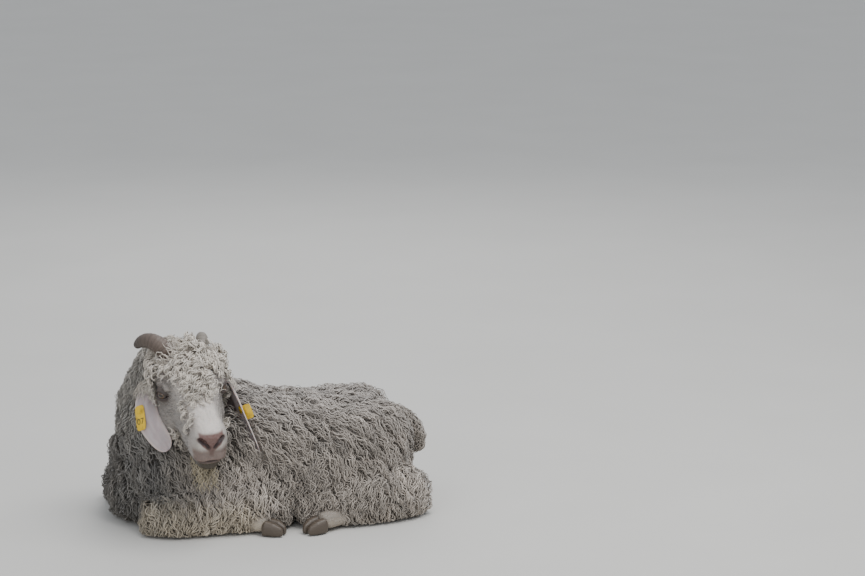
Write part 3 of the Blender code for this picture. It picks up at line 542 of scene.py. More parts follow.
print("the nostrils, lips and mouth are pressed in")

# %% [markdown]
# ## Eyes and lids
# A real eye sits behind two lids that are thick at their edge. The skin inside the opening is
# tucked behind the eyeball, and each pair of lids is a ring of folded skin that runs from the
# almond-shaped edge outwards until it sinks into the skin round the eye.

# %% Lids
LID_ROWS = [  # share of the way out, height above the eyeball
    (0.00, -0.0010), (0.00, 0.0006), (0.03, 0.0020), (0.12, 0.0029), (0.22, 0.0034), (0.34, 0.0037),
    (0.46, 0.0032), (0.54, 0.0018), (0.60, 0.0030), (0.74, 0.0034), (0.88, 0.0018), (1.00, -0.0035),
]
LONG_HALF, UPPER_HALF, LOWER_HALF, LID_OUT = (math.radians(a) for a in (62.0, 18.0, 25.0, 84.0))
LID_SIDES, CORNEA, TUCK = 72, 0.0011, 0.0030


def eye_axes(side):
    """The way an eye looks, its long axis towards the nose, and its upward axis."""
    looks = unit(sided(EYE_LOOKS, side))
    long = np.array((0.80, -0.60 * side, -0.02))
    long = unit(long - looks * (long @ looks))
    high = np.cross(looks, long)
    return looks, long, high * (1 if high[2] > 0 else -1)


def opening_angle(turn):
    """How far the lids' edge lies from the middle of the eye, in each direction round it."""
    c, s = np.cos(turn), np.sin(turn)
    half = np.where(s > 0, UPPER_HALF, LOWER_HALF)
    reach = (np.abs(c / math.tan(LONG_HALF)) ** 1.7 + np.abs(s / np.tan(half)) ** 1.7) ** (-1 / 1.7)
    return np.arctan(reach)


def lids(side):
    """Both lids of one eye as a ring of folded skin."""
    looks, long, high = eye_axes(side)
    turn = circle(LID_SIDES)
    inner = opening_angle(turn)
    rings, faces = [], []
    for share, height in LID_ROWS:
        away = inner + (LID_OUT - inner) * share
        lift = height * np.where((share > 0.4) & (share < 0.7) & (np.sin(turn) < 0), 1.15, 1.0)
        spoke = long * np.cos(turn)[:, None] + high * np.sin(turn)[:, None]
        ring = looks * np.cos(away)[:, None] + spoke * np.sin(away)[:, None]
        rings.append(sided(EYE_AT, side) + ring * (EYE_RADIUS + lift)[:, None])
    for i, j in itertools.product(range(len(LID_ROWS) - 1), range(LID_SIDES)):
        here, beside = i * LID_SIDES + j, i * LID_SIDES + (j + 1) % LID_SIDES
        faces.append((here, here + LID_SIDES, beside + LID_SIDES, beside))
    return np.concatenate(rings), faces


def tucked_in(points, side):
    """The skin's points that lie before an open eye, moved behind the eyeball's surface."""
    looks, _, _ = eye_axes(side)
    away = points - sided(EYE_AT, side)
    distance = np.linalg.norm(away, axis=1)
    angle = np.arccos(np.clip(unit(away) @ looks, -1, 1))
    near = (distance < EYE_RADIUS * 1.9) & (angle < LID_OUT)
    share = 1 - smoothstep(math.radians(58), LID_OUT, angle)
    moved = sided(EYE_AT, side) + unit(away) * np.minimum(distance, EYE_RADIUS - TUCK)[:, None]
    return np.where(near[:, None], points + (moved - points) * share[:, None], points)


points = points_of(face.data)
for side in (1, -1):
    points = tucked_in(points, side)
place_points(face.data, points)
print("the lids have", len(LID_ROWS), "rows round each eye")

# %% [markdown]
# An eyeball is a ball with a small bulge, the cornea, which catches the light. One lathe-like form
# is enough. Its points keep their place across the eye, so the material can draw iris and pupil.

# %% Eyeballs


def eyeball(name, side):
    """An eyeball with a raised cornea; each point keeps its place seen along the gaze."""
    looks, long, high = eye_axes(side)
    level = np.linspace(0.0, math.pi, 49)[1:]
    turn = circle(64)
    radius = EYE_RADIUS + CORNEA * np.exp(-(level / 0.52) ** 4)
    points = [looks * (EYE_RADIUS + CORNEA)]
    for angle, size in zip(level[:-1], radius[:-1]):
        spoke = long * np.cos(turn)[:, None] + high * np.sin(turn)[:, None]
        points += list((looks * math.cos(angle) + spoke * math.sin(angle)) * size)
    points.append(-looks * EYE_RADIUS)
    points = np.array(points) + sided(EYE_AT, side)
    sides, last = len(turn), len(points) - 1
    edges = [(1 + j, 1 + (j + 1) % sides) for j in range(sides)]
    faces = [(0, a, b) for a, b in edges]
    for step in range(0, (len(level) - 2) * sides, sides):
        faces += [(a + step, a + step + sides, b + step + sides, b + step) for a, b in edges]
    faces += [(last, b + last - 1 - sides, a + last - 1 - sides) for a, b in edges]
    obj = mesh_object(name, [(points, faces)], HEAD)
    away = points - sided(EYE_AT, side)
    for label, axis in (("across_iris", long), ("up_iris", high)):
        store_value(obj.data, label, np.where(away @ looks > 0, away @ axis, 9.0) / EYE_RADIUS)
    return obj


eyes = {"left": eyeball("eyeball_left", 1), "right": eyeball("eyeball_right", -1)}
print("each eyeball is", round(2000 * EYE_RADIUS * LIFE_SIZE, 1), "mm across")

# %% [markdown]
# ## Skin and face become one piece
# The face is carried into the goat's frame and joined with the body's skin and the lids. Its
# colours are stored on its points: pink where the nose is bare, white on the face, and under the
# fleece the fleece's tone darkened as painted shade between the locks. The same tone function
# colours the locks, so skin and coat always agree.

# %% Tones
# Steps out, ahead and down from an eye's middle, for the dark line at its corners.
EYE_CORNER = ((0.013, 0.011, 0.0), (0.016, 0.006, 0.001), (0.018, 0.002, 0.002), (0.025, -0.002, 0.005))


def layered(base, layers, count):
    """One colour for each point: a base with every layer's colour laid over it by its share there."""
    tone = np.repeat(base[None], count, axis=0)
    for colour, share in layers:
        tone = tone + (colour - tone) * np.clip(share, 0, 1)[:, None]
    return tone


def coat_tone(points):
    """The fleece's colour at places in the goat's own frame."""
    x, y, z = points.T
    on_forearm = smoothstep(-0.02, -0.10, x) * smoothstep(0.10, 0.06, z) * smoothstep(-0.10, -0.15, y)
    layers = [
        # Painted light lifts the back, and the forearm along with its own cream stain; painted shade darkens the
        # chest.
        ("back", smoothstep(0.19, 0.27, z)),
        ("neck", smoothstep(-0.19, -0.26, x) * smoothstep(0.16, 0.22, z)),
        ("chest", 0.9 * smoothstep(-0.19, -0.27, x) * smoothstep(0.26, 0.16, z)),
        ("forearm", 0.7 * on_forearm),
        ("dirty", 0.55 * smoothstep(0.060, 0.010, z) * (0.6 + 0.4 * noise_at(points, 0.05))),
    ]
    tone = layered(FLEECE["flank"], [(FLEECE[name], share) for name, share in layers], len(points))
    lit = 1 + 0.30 * smoothstep(0.20, 0.10, z) * smoothstep(-0.19, -0.10, x)
    return tone * lit[:, None] * (1 + 0.13 * noise_at(points, 0.07, 3.0))[:, None]


def face_tone(local):
    """The face's colour at places in the head's own axes."""
    f, side, u = local[:, 0], np.abs(local[:, 1]), local[:, 2]
    pad_half = 0.0045 + 0.022 * smoothstep(-0.046, -0.016, u)
    pad = smoothstep(0.143, 0.152, f) * smoothstep(pad_half + 0.003, pad_half - 0.002, side)
    pad *= smoothstep(0.004, -0.002, u) * smoothstep(-0.060, -0.048, u)
    layers = [
        # The darker greys on the cheeks and on the sides of the nose are painted shade.
        ("#857e78", 0.85 * smoothstep(0.033, 0.056, side) * smoothstep(0.130, 0.070, f)),  # cheeks
        ("#8f8882", 0.75 * smoothstep(0.018, 0.036, side) * smoothstep(0.050, 0.080, f)),  # sides of the nose
        ("#aaa19a", 0.6 * smoothstep(0.02, -0.06, f)),  # forehead
        # The poll's dark grey is painted shade.
        ("#5f5850", 0.9 * smoothstep(-0.082, -0.105, f)),  # poll
        ("#603c36", pad * (0.9 + 0.1 * noise_at(local, 0.004))),
    ]
    for which in (1, -1):
        nostril, bowl = on_side(NOSTRIL_LINE, which), on_side(NOSTRIL_BOWL, which)
        inside = smoothstep(0.0052, 0.0026, line_distance(local, nostril))
        inside = np.maximum(inside, smoothstep(0.0085, 0.0050, line_distance(local, bowl)))
        middle = sided(EYE_AT, which)
        rim = np.exp(-((np.linalg.norm(local - middle, axis=1) - EYE_RADIUS) / 0.009) ** 2)
        # The nostrils' grooves and bowls are darkened as painted shade. The ring round each eye is partly darker
        # skin and partly painted shade in its socket.
        layers += [("#4a2925", 0.85 * fade(local, nostril, 0.0052)), ("#241012", 0.95 * inside),
                   ("#483c36", 0.80 * rim)]
        looks, long, high = eye_axes(which)
        for end, steps in ((1, EYE_CORNER), (-1, EYE_CORNER[:3])):
            corner = [middle + looks * ahead + long * end * out - high * down for out, ahead, down in steps]
            layers.append(("#352823", 0.9 * fade(local, corner, 0.0036)))
    # A dark band just under the mouth's line is painted shade in the mouth's gap.
    below = np.interp(f, *np.array(MOUTH_LINE).T) - u
    gap = smoothstep(-0.0020, 0.0, below) * smoothstep(0.0060, 0.0030, below)
    lips = fade(local * (1, 0, 1), MOUTH, 0.0042)
    layers += [
        ("#624e46", 0.85 * smoothstep(0.142, 0.158, f) * smoothstep(-0.028, -0.046, u)),  # upper lip
        # The chin's dark olive is partly a grass stain and partly painted shade under the jaw.
        ("#332d21", 0.9 * smoothstep(-0.070, -0.080, u) * smoothstep(0.04, 0.10, f)),  # chin
        ("#8a6259", 0.75 * lips * smoothstep(0.100, 0.125, f)),
        ("#261917", 0.97 * gap * smoothstep(0.088, 0.100, f) * smoothstep(0.190, 0.186, f)),
    ]
    tone = layered(linear("#c2bab2"), [(linear(code), share) for code, share in layers], len(local))
    streaks = 0.11 * noise_at(local * (0.35, 1.0, 0.8), 0.004, 7.0)
    return tone * (1 + 0.05 * noise_at(local, 0.012) + streaks)[:, None]


print("tones can be read anywhere on the body and the head")

# %% [markdown]
# Separate meshes would show a seam where the neck meets the head, and one mesh shades as one skin.
# The face keeps a copy of its form, on which the head's hair is laid.

# %% The joined skin


def joined(name, objects):
    """Several mesh objects as one, which keeps the colours stored on their points."""
    with bpy.context.temp_override(active_object=objects[0], selected_editable_objects=objects,
                                   selected_objects=objects, object=objects[0]):
        bpy.ops.object.join()
    objects[0].name = name
    objects[0].data.name = name
    objects[0].data.shade_smooth()
    return objects[0]


face_tree = tree_of(face)
face_form = new_object("face_form", face.data.copy())
face_points = points_of(face.data)
store_colour(face.data, face_tone(face_points))
store_value(face.data, "bare", smoothstep(0.142, 0.156, face_points[:, 0]))
lid_object = mesh_object("lids", [lids(side) for side in (1, -1)])
edge_share = np.tile(np.repeat([1.0 - min(row[0] / 0.50, 1.0) ** 2 for row in LID_ROWS], LID_SIDES), 2)
dark = 0.94 * edge_share[:, None]
store_colour(lid_object.data, face_tone(points_of(lid_object.data)) * (1 - dark) + linear("#30231f") * dark)
store_value(lid_object.data, "bare", edge_share)
for piece in (face, lid_object):
    place_points(piece.data, to_goat(points_of(piece.data), HEAD))
body_points = points_of(skin.data)
hoofwards = smoothstep(0.030, 0.022, body_points[:, 2]) * smoothstep(0.15, 0.17, np.abs(body_points[:, 1]))
body_tone = coat_tone(body_points)
# Under the fleece the skin takes the fleece's tone at 60 percent, as painted shade between the locks; low on the
# legs it keeps nearly its full tone.
shaded_under_coat = body_tone * 0.60
store_colour(skin.data, shaded_under_coat + (body_tone * 0.95 - shaded_under_coat) * hoofwards[:, None])
store_value(skin.data, "bare", np.zeros(len(body_points)))
skin = joined("skin", [skin, face, lid_object])
print("the joined skin has", len(skin.data.polygons), "faces")

# %% [markdown]
# ## Horns
# Horn grows in rings, so its tube swells and shrinks along the curl. A bump in the material could
# draw the rings too, but it leaves the outline smooth, so the rings are in the mesh. Each horn is
# lofted along its solid's own path, with many more rings, and lies exactly where its solid lies.

# %% Horns
HORN_RIGHT = [
    (-0.053, 0.030, 0.046, 0.0220), (-0.061, 0.044, 0.078, 0.0215), (-0.074, 0.060, 0.093, 0.0200),
    (-0.090, 0.076, 0.095, 0.0172), (-0.104, 0.090, 0.085, 0.0130), (-0.114, 0.099, 0.069, 0.0065),
]
HORN_LEFT = [
    (-0.053, 0.026, 0.043, 0.0205), (-0.064, 0.036, 0.067, 0.0190), (-0.080, 0.043, 0.080, 0.0165),
    (-0.098, 0.046, 0.080, 0.0135), (-0.115, 0.049, 0.064, 0.0100), (-0.125, 0.053, 0.044, 0.0060),
]


def horn_frames(path, side, count):
    """Along a horn: its middle, two ways across it, and its thickness."""
    rows = spline(path, count)
    centre = rows[:, :3] * (1, side, 1)
    along = unit(np.gradient(centre, axis=0))
    wide = unit(np.cross(along, (0, 0, 1)))
    return centre, wide, np.cross(wide, along), rows[:, 3]


def horn(name, path, side, paleness, sides=40, count=150, ridges=17):
    """One horn with its growth rings, as an oval tube that closes in a rounded tip."""
    centre, wide, tall, thick = horn_frames(path, side, count)
    share = np.linspace(0, 1, count)
    rng = np.random.default_rng(5 + side)
    widths = np.clip(1 + 0.55 * rng.standard_normal(ridges), 0.3, 2.2)
    edges = np.concatenate([[0], np.cumsum(widths)]) / widths.sum()
    ring_wave = np.abs(np.sin(np.pi * np.interp(share, edges, np.arange(ridges + 1)))) ** 0.7
    ring_height = np.interp(share, edges, rng.uniform(0.35, 1.0, ridges + 1))
    swell = 1 + 0.085 * (ring_wave - 0.6) * ring_height * (1 - 0.6 * share)
    close = np.sqrt(np.clip(1 - np.clip((share - 0.93) / 0.07, 0, 1) ** 2, 0.0004, 1))
    turn = circle(sides)
    keel = 1 + 0.07 * np.cos(turn - 0.6) ** 3
    radius = (thick * swell * close)[:, None] * keel
    radius = radius * (1 + 0.012 * rng.standard_normal((count, sides)))
    rings = (centre[:, None] + wide[:, None] * (0.85 * radius * np.cos(turn))[:, :, None]
             + tall[:, None] * (radius * np.sin(turn))[:, :, None])
    obj = mesh_object(name, [tube(rings)], HEAD)
    store_value(obj.data, "along", np.repeat(share, sides))
    store_value(obj.data, "groove", np.repeat((1 - ring_wave) * ring_height, sides))
    store_value(obj.data, "paleness", np.full(count * sides, paleness))
    return obj


horns = {"left": horn("horn_sheath_left", HORN_LEFT, 1, 0.85),
         "right": horn("horn_sheath_right", HORN_RIGHT, -1, 0.10)}
print("horn faces:", [len(obj.data.polygons) for obj in horns.values()])

# %% [markdown]
# ## Ears
# An ear is a leaf of cartilage bent into a cup, with a rolled rim. A flat sheet with a thickness
# modifier would do, but it can't thin towards the rim. So both faces are laid as points on a bent
# strip, and the strip's bend and width follow the ear's length.

# %% Ears
EAR_RIGHT = [
    (-0.060, 0.058, 0.000, 0.030, 1.25), (-0.050, 0.084, -0.010, 0.040, 1.10),
    (-0.032, 0.098, -0.031, 0.049, 0.85), (-0.006, 0.099, -0.052, 0.053, 0.62),
    (0.019, 0.089, -0.072, 0.052, 0.50), (0.040, 0.076, -0.090, 0.043, 0.42),
    (0.053, 0.066, -0.102, 0.022, 0.40),
]
EAR_LEFT = [
    (-0.060, 0.056, 0.010, 0.030, 1.25), (-0.050, 0.090, -0.014, 0.048, 1.15),
    (-0.034, 0.102, -0.045, 0.062, 1.00), (-0.009, 0.111, -0.079, 0.065, 0.85),
    (0.018, 0.120, -0.108, 0.059, 0.70), (0.041, 0.130, -0.131, 0.043, 0.60),
    (0.058, 0.140, -0.145, 0.016, 0.55),
]
EAR_THICKNESS = 0.0040
CUP_RIGHT, CUP_LEFT = (-0.75, -0.45, -0.40), (0.45, -0.80, 0.15)


def ear_frames(stations, side, cup, count):
    """Along an ear: its middle, the way across, the way into its cup, its width and its bend."""
    rows = spline(stations, count)
    centre = rows[:, :3] * (1, side, 1)
    along = np.empty_like(centre)
    along[1:-1] = centre[2:] - centre[:-2]
    along[0], along[-1] = centre[1] - centre[0], centre[-1] - centre[-2]
    along = unit(along)
    inward = unit(sided(cup, side) - along * (along @ sided(cup, side))[:, None])
    return centre, np.cross(along, inward), inward, rows[:, 3], rows[:, 4]


def ear(name, stations, side, cup, count=70, steps=26):
    """One ear: a thin leaf bent into a cup, with a rolled rim and folds that run to its tip."""
    centre, across, inward, width, bend = ear_frames(stations, side, cup, count)
    share = np.linspace(0, 1, count)[:, None]
    round_tip = np.sqrt(np.clip(1 - np.clip((share - 0.90) / 0.10, 0, 1) ** 2, 0.02, 1))
    place = np.linspace(-1, 1, steps)[None]
    turn = bend[:, None] * place * round_tip
    radius = (width / 2 / np.sin(bend))[:, None]
    spoke = across[:, None] * np.sin(turn)[..., None] - inward[:, None] * np.cos(turn)[..., None]
    middle = centre[:, None] + inward[:, None] * radius[..., None] + spoke * radius[..., None]
    folds = 0.0009 * np.sin(place * 9.0 + 1.4 * share) * smoothstep(0.0, 0.25, share) * (1 - place**2)
    middle = middle + spoke * folds[..., None]
    thick = EAR_THICKNESS / 2 * (0.75 + 0.25 * (1 - np.abs(place) ** 4)) * (1 - 0.30 * share)
    outer, inner = middle + spoke * thick[..., None], middle - spoke * thick[..., None]
    rings = np.concatenate([outer, inner[:, ::-1]], axis=1)
    obj = mesh_object(name, [tube(rings)], HEAD)
    spots = rings.reshape(-1, 3)
    inside = np.tile(np.repeat((0.0, 1.0), steps), count)
    edgewards = np.tile(np.concatenate([place[0], place[0][::-1]]), count)
    rim = np.abs(edgewards)
    tip = np.repeat(share[:, 0], 2 * steps)
    colour = linear("#ada3a3") * (1 - 0.13 * noise_at(spots * (0.35, 1.0, 0.35), 0.010))[:, None]
    colour = colour + (linear("#cdc1bb") - colour) * (0.8 * smoothstep(0.62, 0.90, rim))[:, None]
    # The inner face of the cup, away from the rim and on one half, is painted dark brown as shade, a little less
    # towards the tip.
    cup_shade_share = inside * smoothstep(0.88, 0.66, rim) * smoothstep(-0.15, 0.15, edgewards * side)
    cup_shade = linear("#3b2b25") * (1 + 0.25 * noise_at(spots, 0.008, 2.0))[:, None]
    colour = colour + (cup_shade - colour) * (cup_shade_share * (0.97 - 0.30 * tip))[:, None]
    store_colour(obj.data, colour)
    return obj


ears = {"left": ear("ear_leaf_left", EAR_LEFT, 1, CUP_LEFT),
        "right": ear("ear_leaf_right", EAR_RIGHT, -1, CUP_RIGHT)}
ear_steps = np.diff(np.array(EAR_LEFT)[:, :3], axis=0)
print("ear length:", round(1000 * LIFE_SIZE * float(np.linalg.norm(ear_steps, axis=1).sum())), "mm")

# %% [markdown]
# ## Ear tags
# A tag is two moulded parts: a plate outside the ear, and a button inside that its pin snaps into.
# Boxes with a bevel would be quicker, but stacked rings give round and square parts with one
# function. The digits are a text object turned into a mesh, so that no font is needed later.

# %% Ear tags
# Share of the way along the ear, shift across it, half width, half length, and how far it stands out.
TAG_RIGHT = (0.40, -0.012, 0.0125, 0.0285, 0.0)
TAG_LEFT = (0.46, -0.020, 0.0100, 0.0165, math.radians(60.0))
TAG_THICKNESS, TAG_PIN, TAG_BUTTON, GAP = 0.0018, 0.0026, 0.0085, 0.0003
# Share of the thickness, and how much smaller the plate is there.
SOFT_EDGE = ((0.0, 0.00045), (0.12, 0.00015), (0.3, 0.0), (0.7, 0.0), (0.88, 0.00015), (1.0, 0.00045))


def tag_axes(frames, sizes):
    """Where a tag's pin crosses the ear, and the axes across, along and out of the ear there."""
    place = sizes[0] * (len(frames[0]) - 1)
    k, mix = int(place), place - int(place)
    centre, across, inward, width, bend = ((row[k] * (1 - mix) + row[k + 1] * mix) for row in frames)
    across, inward = unit(across), unit(inward)
    radius = width / 2 / math.sin(bend)
    turn = sizes[1] / radius
    spoke = across * math.sin(turn) - inward * math.cos(turn)
    sideways = across * math.cos(turn) + inward * math.sin(turn)
    along = np.cross(spoke, sideways)
    return centre + inward * radius + spoke * radius, sideways, along * (-1 if along[2] > 0 else 1), spoke


def plate_rings(centre, wide, tall, face, size, thick, power, sides=56):
    """Rings of a flat plate with softened edges."""
    c, s = rounded(sides, power)
    rings = []
    for level, less in SOFT_EDGE:
        rings.append(centre + face * (thick * level) + np.outer((size[0] - less) * c, wide)
                     + np.outer((size[1] - less) * s, tall))
    return tube(np.array(rings))


def ear_tag(name, stations, side, cup, sizes, digits):
    """A moulded tag: plate with digits outside the ear, a pin, and a button inside."""
    _, _, half_width, half_length, lean = sizes
    point, sideways, along, out = tag_axes(ear_frames(stations, side, cup, 9), sizes)
    half = EAR_THICKNESS / 2 + 2 * GAP
    wide = sideways * math.cos(lean) - out * math.sin(lean)
    face_way = out * math.cos(lean) + sideways * math.sin(lean)
    near = point + out * half + along * (half_length * 0.55) - wide * (half_width * math.sin(lean))
    boss = near + face_way * TAG_THICKNESS * 0.9 - along * (half_length * 0.55)
    shapes = [plate_rings(near, wide, along, face_way, (half_width, half_length), TAG_THICKNESS, 5.0),
              plate_rings(boss, wide, along, face_way, (0.0058, 0.0058), 0.0012, 2.0)]
    for size, behind, thick, sides in ((TAG_PIN, 0.6, 2 * (half + TAG_THICKNESS * 0.6), 20),
                                       (TAG_BUTTON, 1.0, TAG_THICKNESS, 40)):
        shapes.append(plate_rings(point - out * (half + TAG_THICKNESS * behind), sideways, along, out,
                                  (size, size), thick, 2.0, sides))
    tag = mesh_object(name, shapes, HEAD)
    # The print: plain digits, pressed on the plate as a thin dark layer.
    curve = bpy.data.curves.new(name + "_digits", "FONT")
    curve.body, curve.size, curve.extrude = digits, half_width * 1.55, 0.00012
    curve.align_x, curve.align_y = "CENTER", "CENTER"
    words = new_object(name + "_digits", curve)
    print_mesh = bpy.data.meshes.new_from_object(words)
    bpy.data.objects.remove(words)
    spot = near + face_way * (TAG_THICKNESS + 0.00010) + along * (half_length * 0.30)
    columns = np.column_stack([np.cross(-along, face_way), -along, face_way])
    place_points(print_mesh, to_goat(points_of(print_mesh) @ columns.T + spot, HEAD))
    return tag, new_object(name + "_digits", print_mesh)


tags = {"left": ear_tag("tag_plate_left", EAR_LEFT, 1, CUP_LEFT, TAG_LEFT, "07"),
        "right": ear_tag("tag_plate_right", EAR_RIGHT, -1, CUP_RIGHT, TAG_RIGHT, "07")}
print("tag plates:", [round(2000 * LIFE_SIZE * s[2]) for s in (TAG_LEFT, TAG_RIGHT)], "mm wide")

# %% [markdown]
# ## Hooves
# A goat stands on two claws at each foot, with a cleft between them. Each claw has upright walls, a
# flat sole and a pointed toe. It could be cut from a block, but a row of rounded rings that shrink
# towards the toe is easier to fit to the end of the cannon.

# %% Hooves


def claw_pair(cannon, side, reach, sides=40, count=30):
    """The two claws of one hoof as rings: upright walls, a flat sole and a pointed toe."""
    end = np.array(cannon[-1][:3])
    heading = end - np.array(cannon[-2][:3])
    heading[2] = 0.0
    heading = unit(heading)
    across = np.cross((0, 0, 1), heading)
    keys = np.array([(-0.10, 0.80, 0.80), (0.05, 1.0, 1.0), (0.55, 0.92, 0.86), (1.0, 0.42, 0.48)])
    share = np.linspace(-0.10, 1.0, count)
    c, s = rounded(sides, 2.6)
    close = np.sqrt(np.clip(1 - np.clip((share - 0.9) / 0.1, 0, 1) ** 2, 0.05, 1))
    pair = []
    for which in (1, -1):
        wide = CLAW_WIDTH * np.interp(share, keys[:, 0], keys[:, 1]) * (1 + 0.008 * np.sin(share * 60))
        tall = CLAW_HEIGHT * np.interp(share, keys[:, 0], keys[:, 2])
        centre = end + np.outer(share * CLAW_LENGTH, heading) + across * which * (CLEFT + CLAW_WIDTH * 0.95)
        centre = centre - across * which * 0.008 * np.maximum(0.0, share - 0.5)[:, None]
        centre[:, 2] = CLAW_HEIGHT - CLAW_SUNK - (CLAW_HEIGHT - tall) * 0.8
        wide, tall = wide * close, tall * close
        rings = centre[:, None] + across * (wide[:, None] * c)[..., None]
        rings = rings + np.array((0, 0, 1)) * (tall[:, None] * s)[..., None]
        rings[..., 2] = np.maximum(rings[..., 2], 0.0006)
        if side < 0:
            rings = rings * (1, -1, 1) + (reach, 0, 0)
        pair.append(tube(rings))
    return pair


claws = {}
for leg, cannon, reach in (("fore", FORE_CANNON, RIGHT_REACH), ("hind", HIND_CANNON, 0.0)):
    for name, side in (("left", 1), ("right", -1)):
        for where, shape in zip(("inner", "outer"), claw_pair(cannon, side, reach if side < 0 else 0.0)):
            claws[f"{leg}_{name}_{where}"] = mesh_object(f"hoof_{leg}_{name}_{where}", [shape])
print("claws:", len(claws))

# %% [markdown]
# ## The fleece
# Mohair grows in locks that hang together and curl like corkscrews. Particle hair would be lighter
# to make, but it is lost when the model leaves Blender, so each lock is a real closed mesh: a thin
# tube that rises from the skin, lies over with the fall of the coat and winds round its own middle.
# All the locks of a patch are built at once as arrays of numbers, which is fast.

# %% Lock builder
PATCH = 0.003  # how far across each lock's patch of the bake map is
NEIGHBOURS = list(itertools.product((-1, 0, 1), repeat=3))


def lock_mesh(name, centre, outward, radius, profile, sides, root_uv, colours, flat=0.85, tip_from=0.0):
    """Many locks as one mesh. centre is locks x rings x 3, and colours is one row for each lock."""
    count, rings = centre.shape[:2]
    along = unit(np.gradient(centre, axis=1))
    across = unit(np.cross(along, outward))
    up = np.cross(across, along)
    turn = circle(sides)
    size = (radius[:, None] * profile)[:, :, None, None]
    points = (centre[:, :, None] + size * (across[:, :, None] * np.cos(turn)[:, None]
              + flat * up[:, :, None] * np.sin(turn)[:, None]))
    # One lock's faces as (ring, side) corners; the others repeat it.
    faces = [[(0, j) for j in range(sides)][::-1]]
    faces += [[(i, j), (i, j + 1), (i + 1, j + 1), (i + 1, j)]
              for i, j in itertools.product(range(rings - 1), range(sides))]
    faces.append([(rings - 1, j) for j in range(sides)])
    sizes = np.array([len(face) for face in faces])
    corner = np.array([c for face in faces for c in face])
    index = corner[:, 0] * sides + corner[:, 1] % sides
    total = rings * sides
    loops = (index[None] + np.arange(count)[:, None] * total).ravel()
    mesh = bpy.data.meshes.new(name)
    mesh.vertices.add(count * total)
    mesh.loops.add(len(loops))
    mesh.polygons.add(count * len(faces))
    mesh.vertices.foreach_set("co", points.reshape(-1).astype(np.float32))
    mesh.loops.foreach_set("vertex_index", loops.astype(np.int32))
    all_sizes = np.tile(sizes, count)
    mesh.polygons.foreach_set("loop_start", (np.cumsum(all_sizes) - all_sizes).astype(np.int32))
    mesh.update(calc_edges=True)
    share = np.column_stack([corner[:, 1] / sides, corner[:, 0] / (rings - 1)])
    patch = mesh.uv_layers.new(name="OFBake")
    spots = root_uv[:, None] + (share - 0.5)[None] * PATCH
    patch.data.foreach_set("uv", spots.astype(np.float32).ravel())
    strand = mesh.uv_layers.new(name="strand")
    strand.data.foreach_set("uv", np.tile(share, (count, 1)).astype(np.float32).ravel())
    patch.active_render = True
    mesh.uv_layers.active = patch
    store_value(mesh, "tip", np.tile(np.repeat(np.linspace(tip_from, 1, rings), sides), count))
    store_colour(mesh, np.repeat(colours, total, axis=0))
    mesh.shade_smooth()
    return new_object(name, mesh)


print("one lock has the faces of a tube and a patch of its own in the bake map")

# %% [markdown]
# Hair follicles stand about evenly on skin. Random places alone leave clumps and bare spots, so a
# place is kept only if no kept one is too near. A grid of cells finds the near ones fast.

# %% Spreading roots


def spread(mesh, distance, wanted, seed, tries):
    """Points spread over a mesh about distance apart where wanted says so, with their normals."""
    rng = np.random.default_rng(seed)
    mesh.calc_loop_triangles()
    corners = np.empty(len(mesh.loop_triangles) * 3, dtype=np.int32)
    mesh.loop_triangles.foreach_get("vertices", corners)
    co, no = points_of(mesh), points_of(mesh, "normals")
    tri = corners.reshape(-1, 3)
    a, b, c = co[tri[:, 0]], co[tri[:, 1]], co[tri[:, 2]]
    area = np.linalg.norm(np.cross(b - a, c - a), axis=1)
    pick = rng.choice(len(tri), size=tries, p=area / area.sum())
    u, v = rng.random(tries), rng.random(tries)
    flip = u + v > 1
    u, v = np.where(flip, 1 - u, u), np.where(flip, 1 - v, v)
    w = 1 - u - v
    spots = a[pick] * w[:, None] + b[pick] * u[:, None] + c[pick] * v[:, None]
    no_a, no_b, no_c = (no[tri[pick, k]] for k in range(3))
    normals = unit(no_a * w[:, None] + no_b * u[:, None] + no_c * v[:, None])
    scale = wanted(spots, normals)
    keep = scale > 0
    spots, normals, scale = spots[keep], normals[keep], scale[keep]
    cells, chosen = {}, []
    grid = np.floor(spots / (distance * 1.2)).astype(int)
    for i, (spot, cell) in enumerate(zip(spots, map(tuple, grid))):
        reach = (distance * scale[i]) ** 2
        around = ((cell[0] + dx, cell[1] + dy, cell[2] + dz) for dx, dy, dz in NEIGHBOURS)
        gaps = (spot - other for place in around for other in cells.get(place, ()))
        if all(gap @ gap >= reach for gap in gaps):
            cells.setdefault(cell, []).append(spot)
            chosen.append(i)
    return spots[chosen], normals[chosen]


print("roots can be spread")

# %% [markdown]
# A lock doesn't stand straight off the skin: it lies over it. It could be bent by hand or by
# physics. Here each one walks over the core in small steps and turns with it, which is fast and
# never sinks in. Then it is lifted to the coat's height and wound like a corkscrew.

# %% Laying and curling


def laid(tree, roots, normals, lies, lengths, steps, bends):
    """The way each lock takes over the core, step by step, with the outward direction there."""
    centre = np.empty((len(roots), steps, 3))
    outward = np.empty_like(centre)
    for i in range(len(roots)):
        point, out, way = Vector(roots[i]), Vector(normals[i]), Vector(lies[i])
        stride, bend = lengths[i] / (steps - 1), bends[i] / (steps - 1)
        for j in range(steps):
            centre[i, j] = point
            outward[i, j] = out
            way = (way - out * way.dot(out)).normalized()
            way = way + out.cross(way) * bend
            found, face_out, _, _ = tree.find_nearest(point + way * stride)
            out = (out * 0.5 + face_out).normalized()
            point = found
    return centre, outward


def resampled(rows, place):
    """Each row's points read at its own places, from 0 at its start to 1 at its end."""
    place = np.clip(place, 0, 1) * (rows.shape[1] - 1)
    k = np.minimum(place.astype(int), rows.shape[1] - 2)
    mix = (place - k)[..., None]
    row = np.arange(len(rows))[:, None]
    return rows[row, k] * (1 - mix) + rows[row, k + 1] * mix


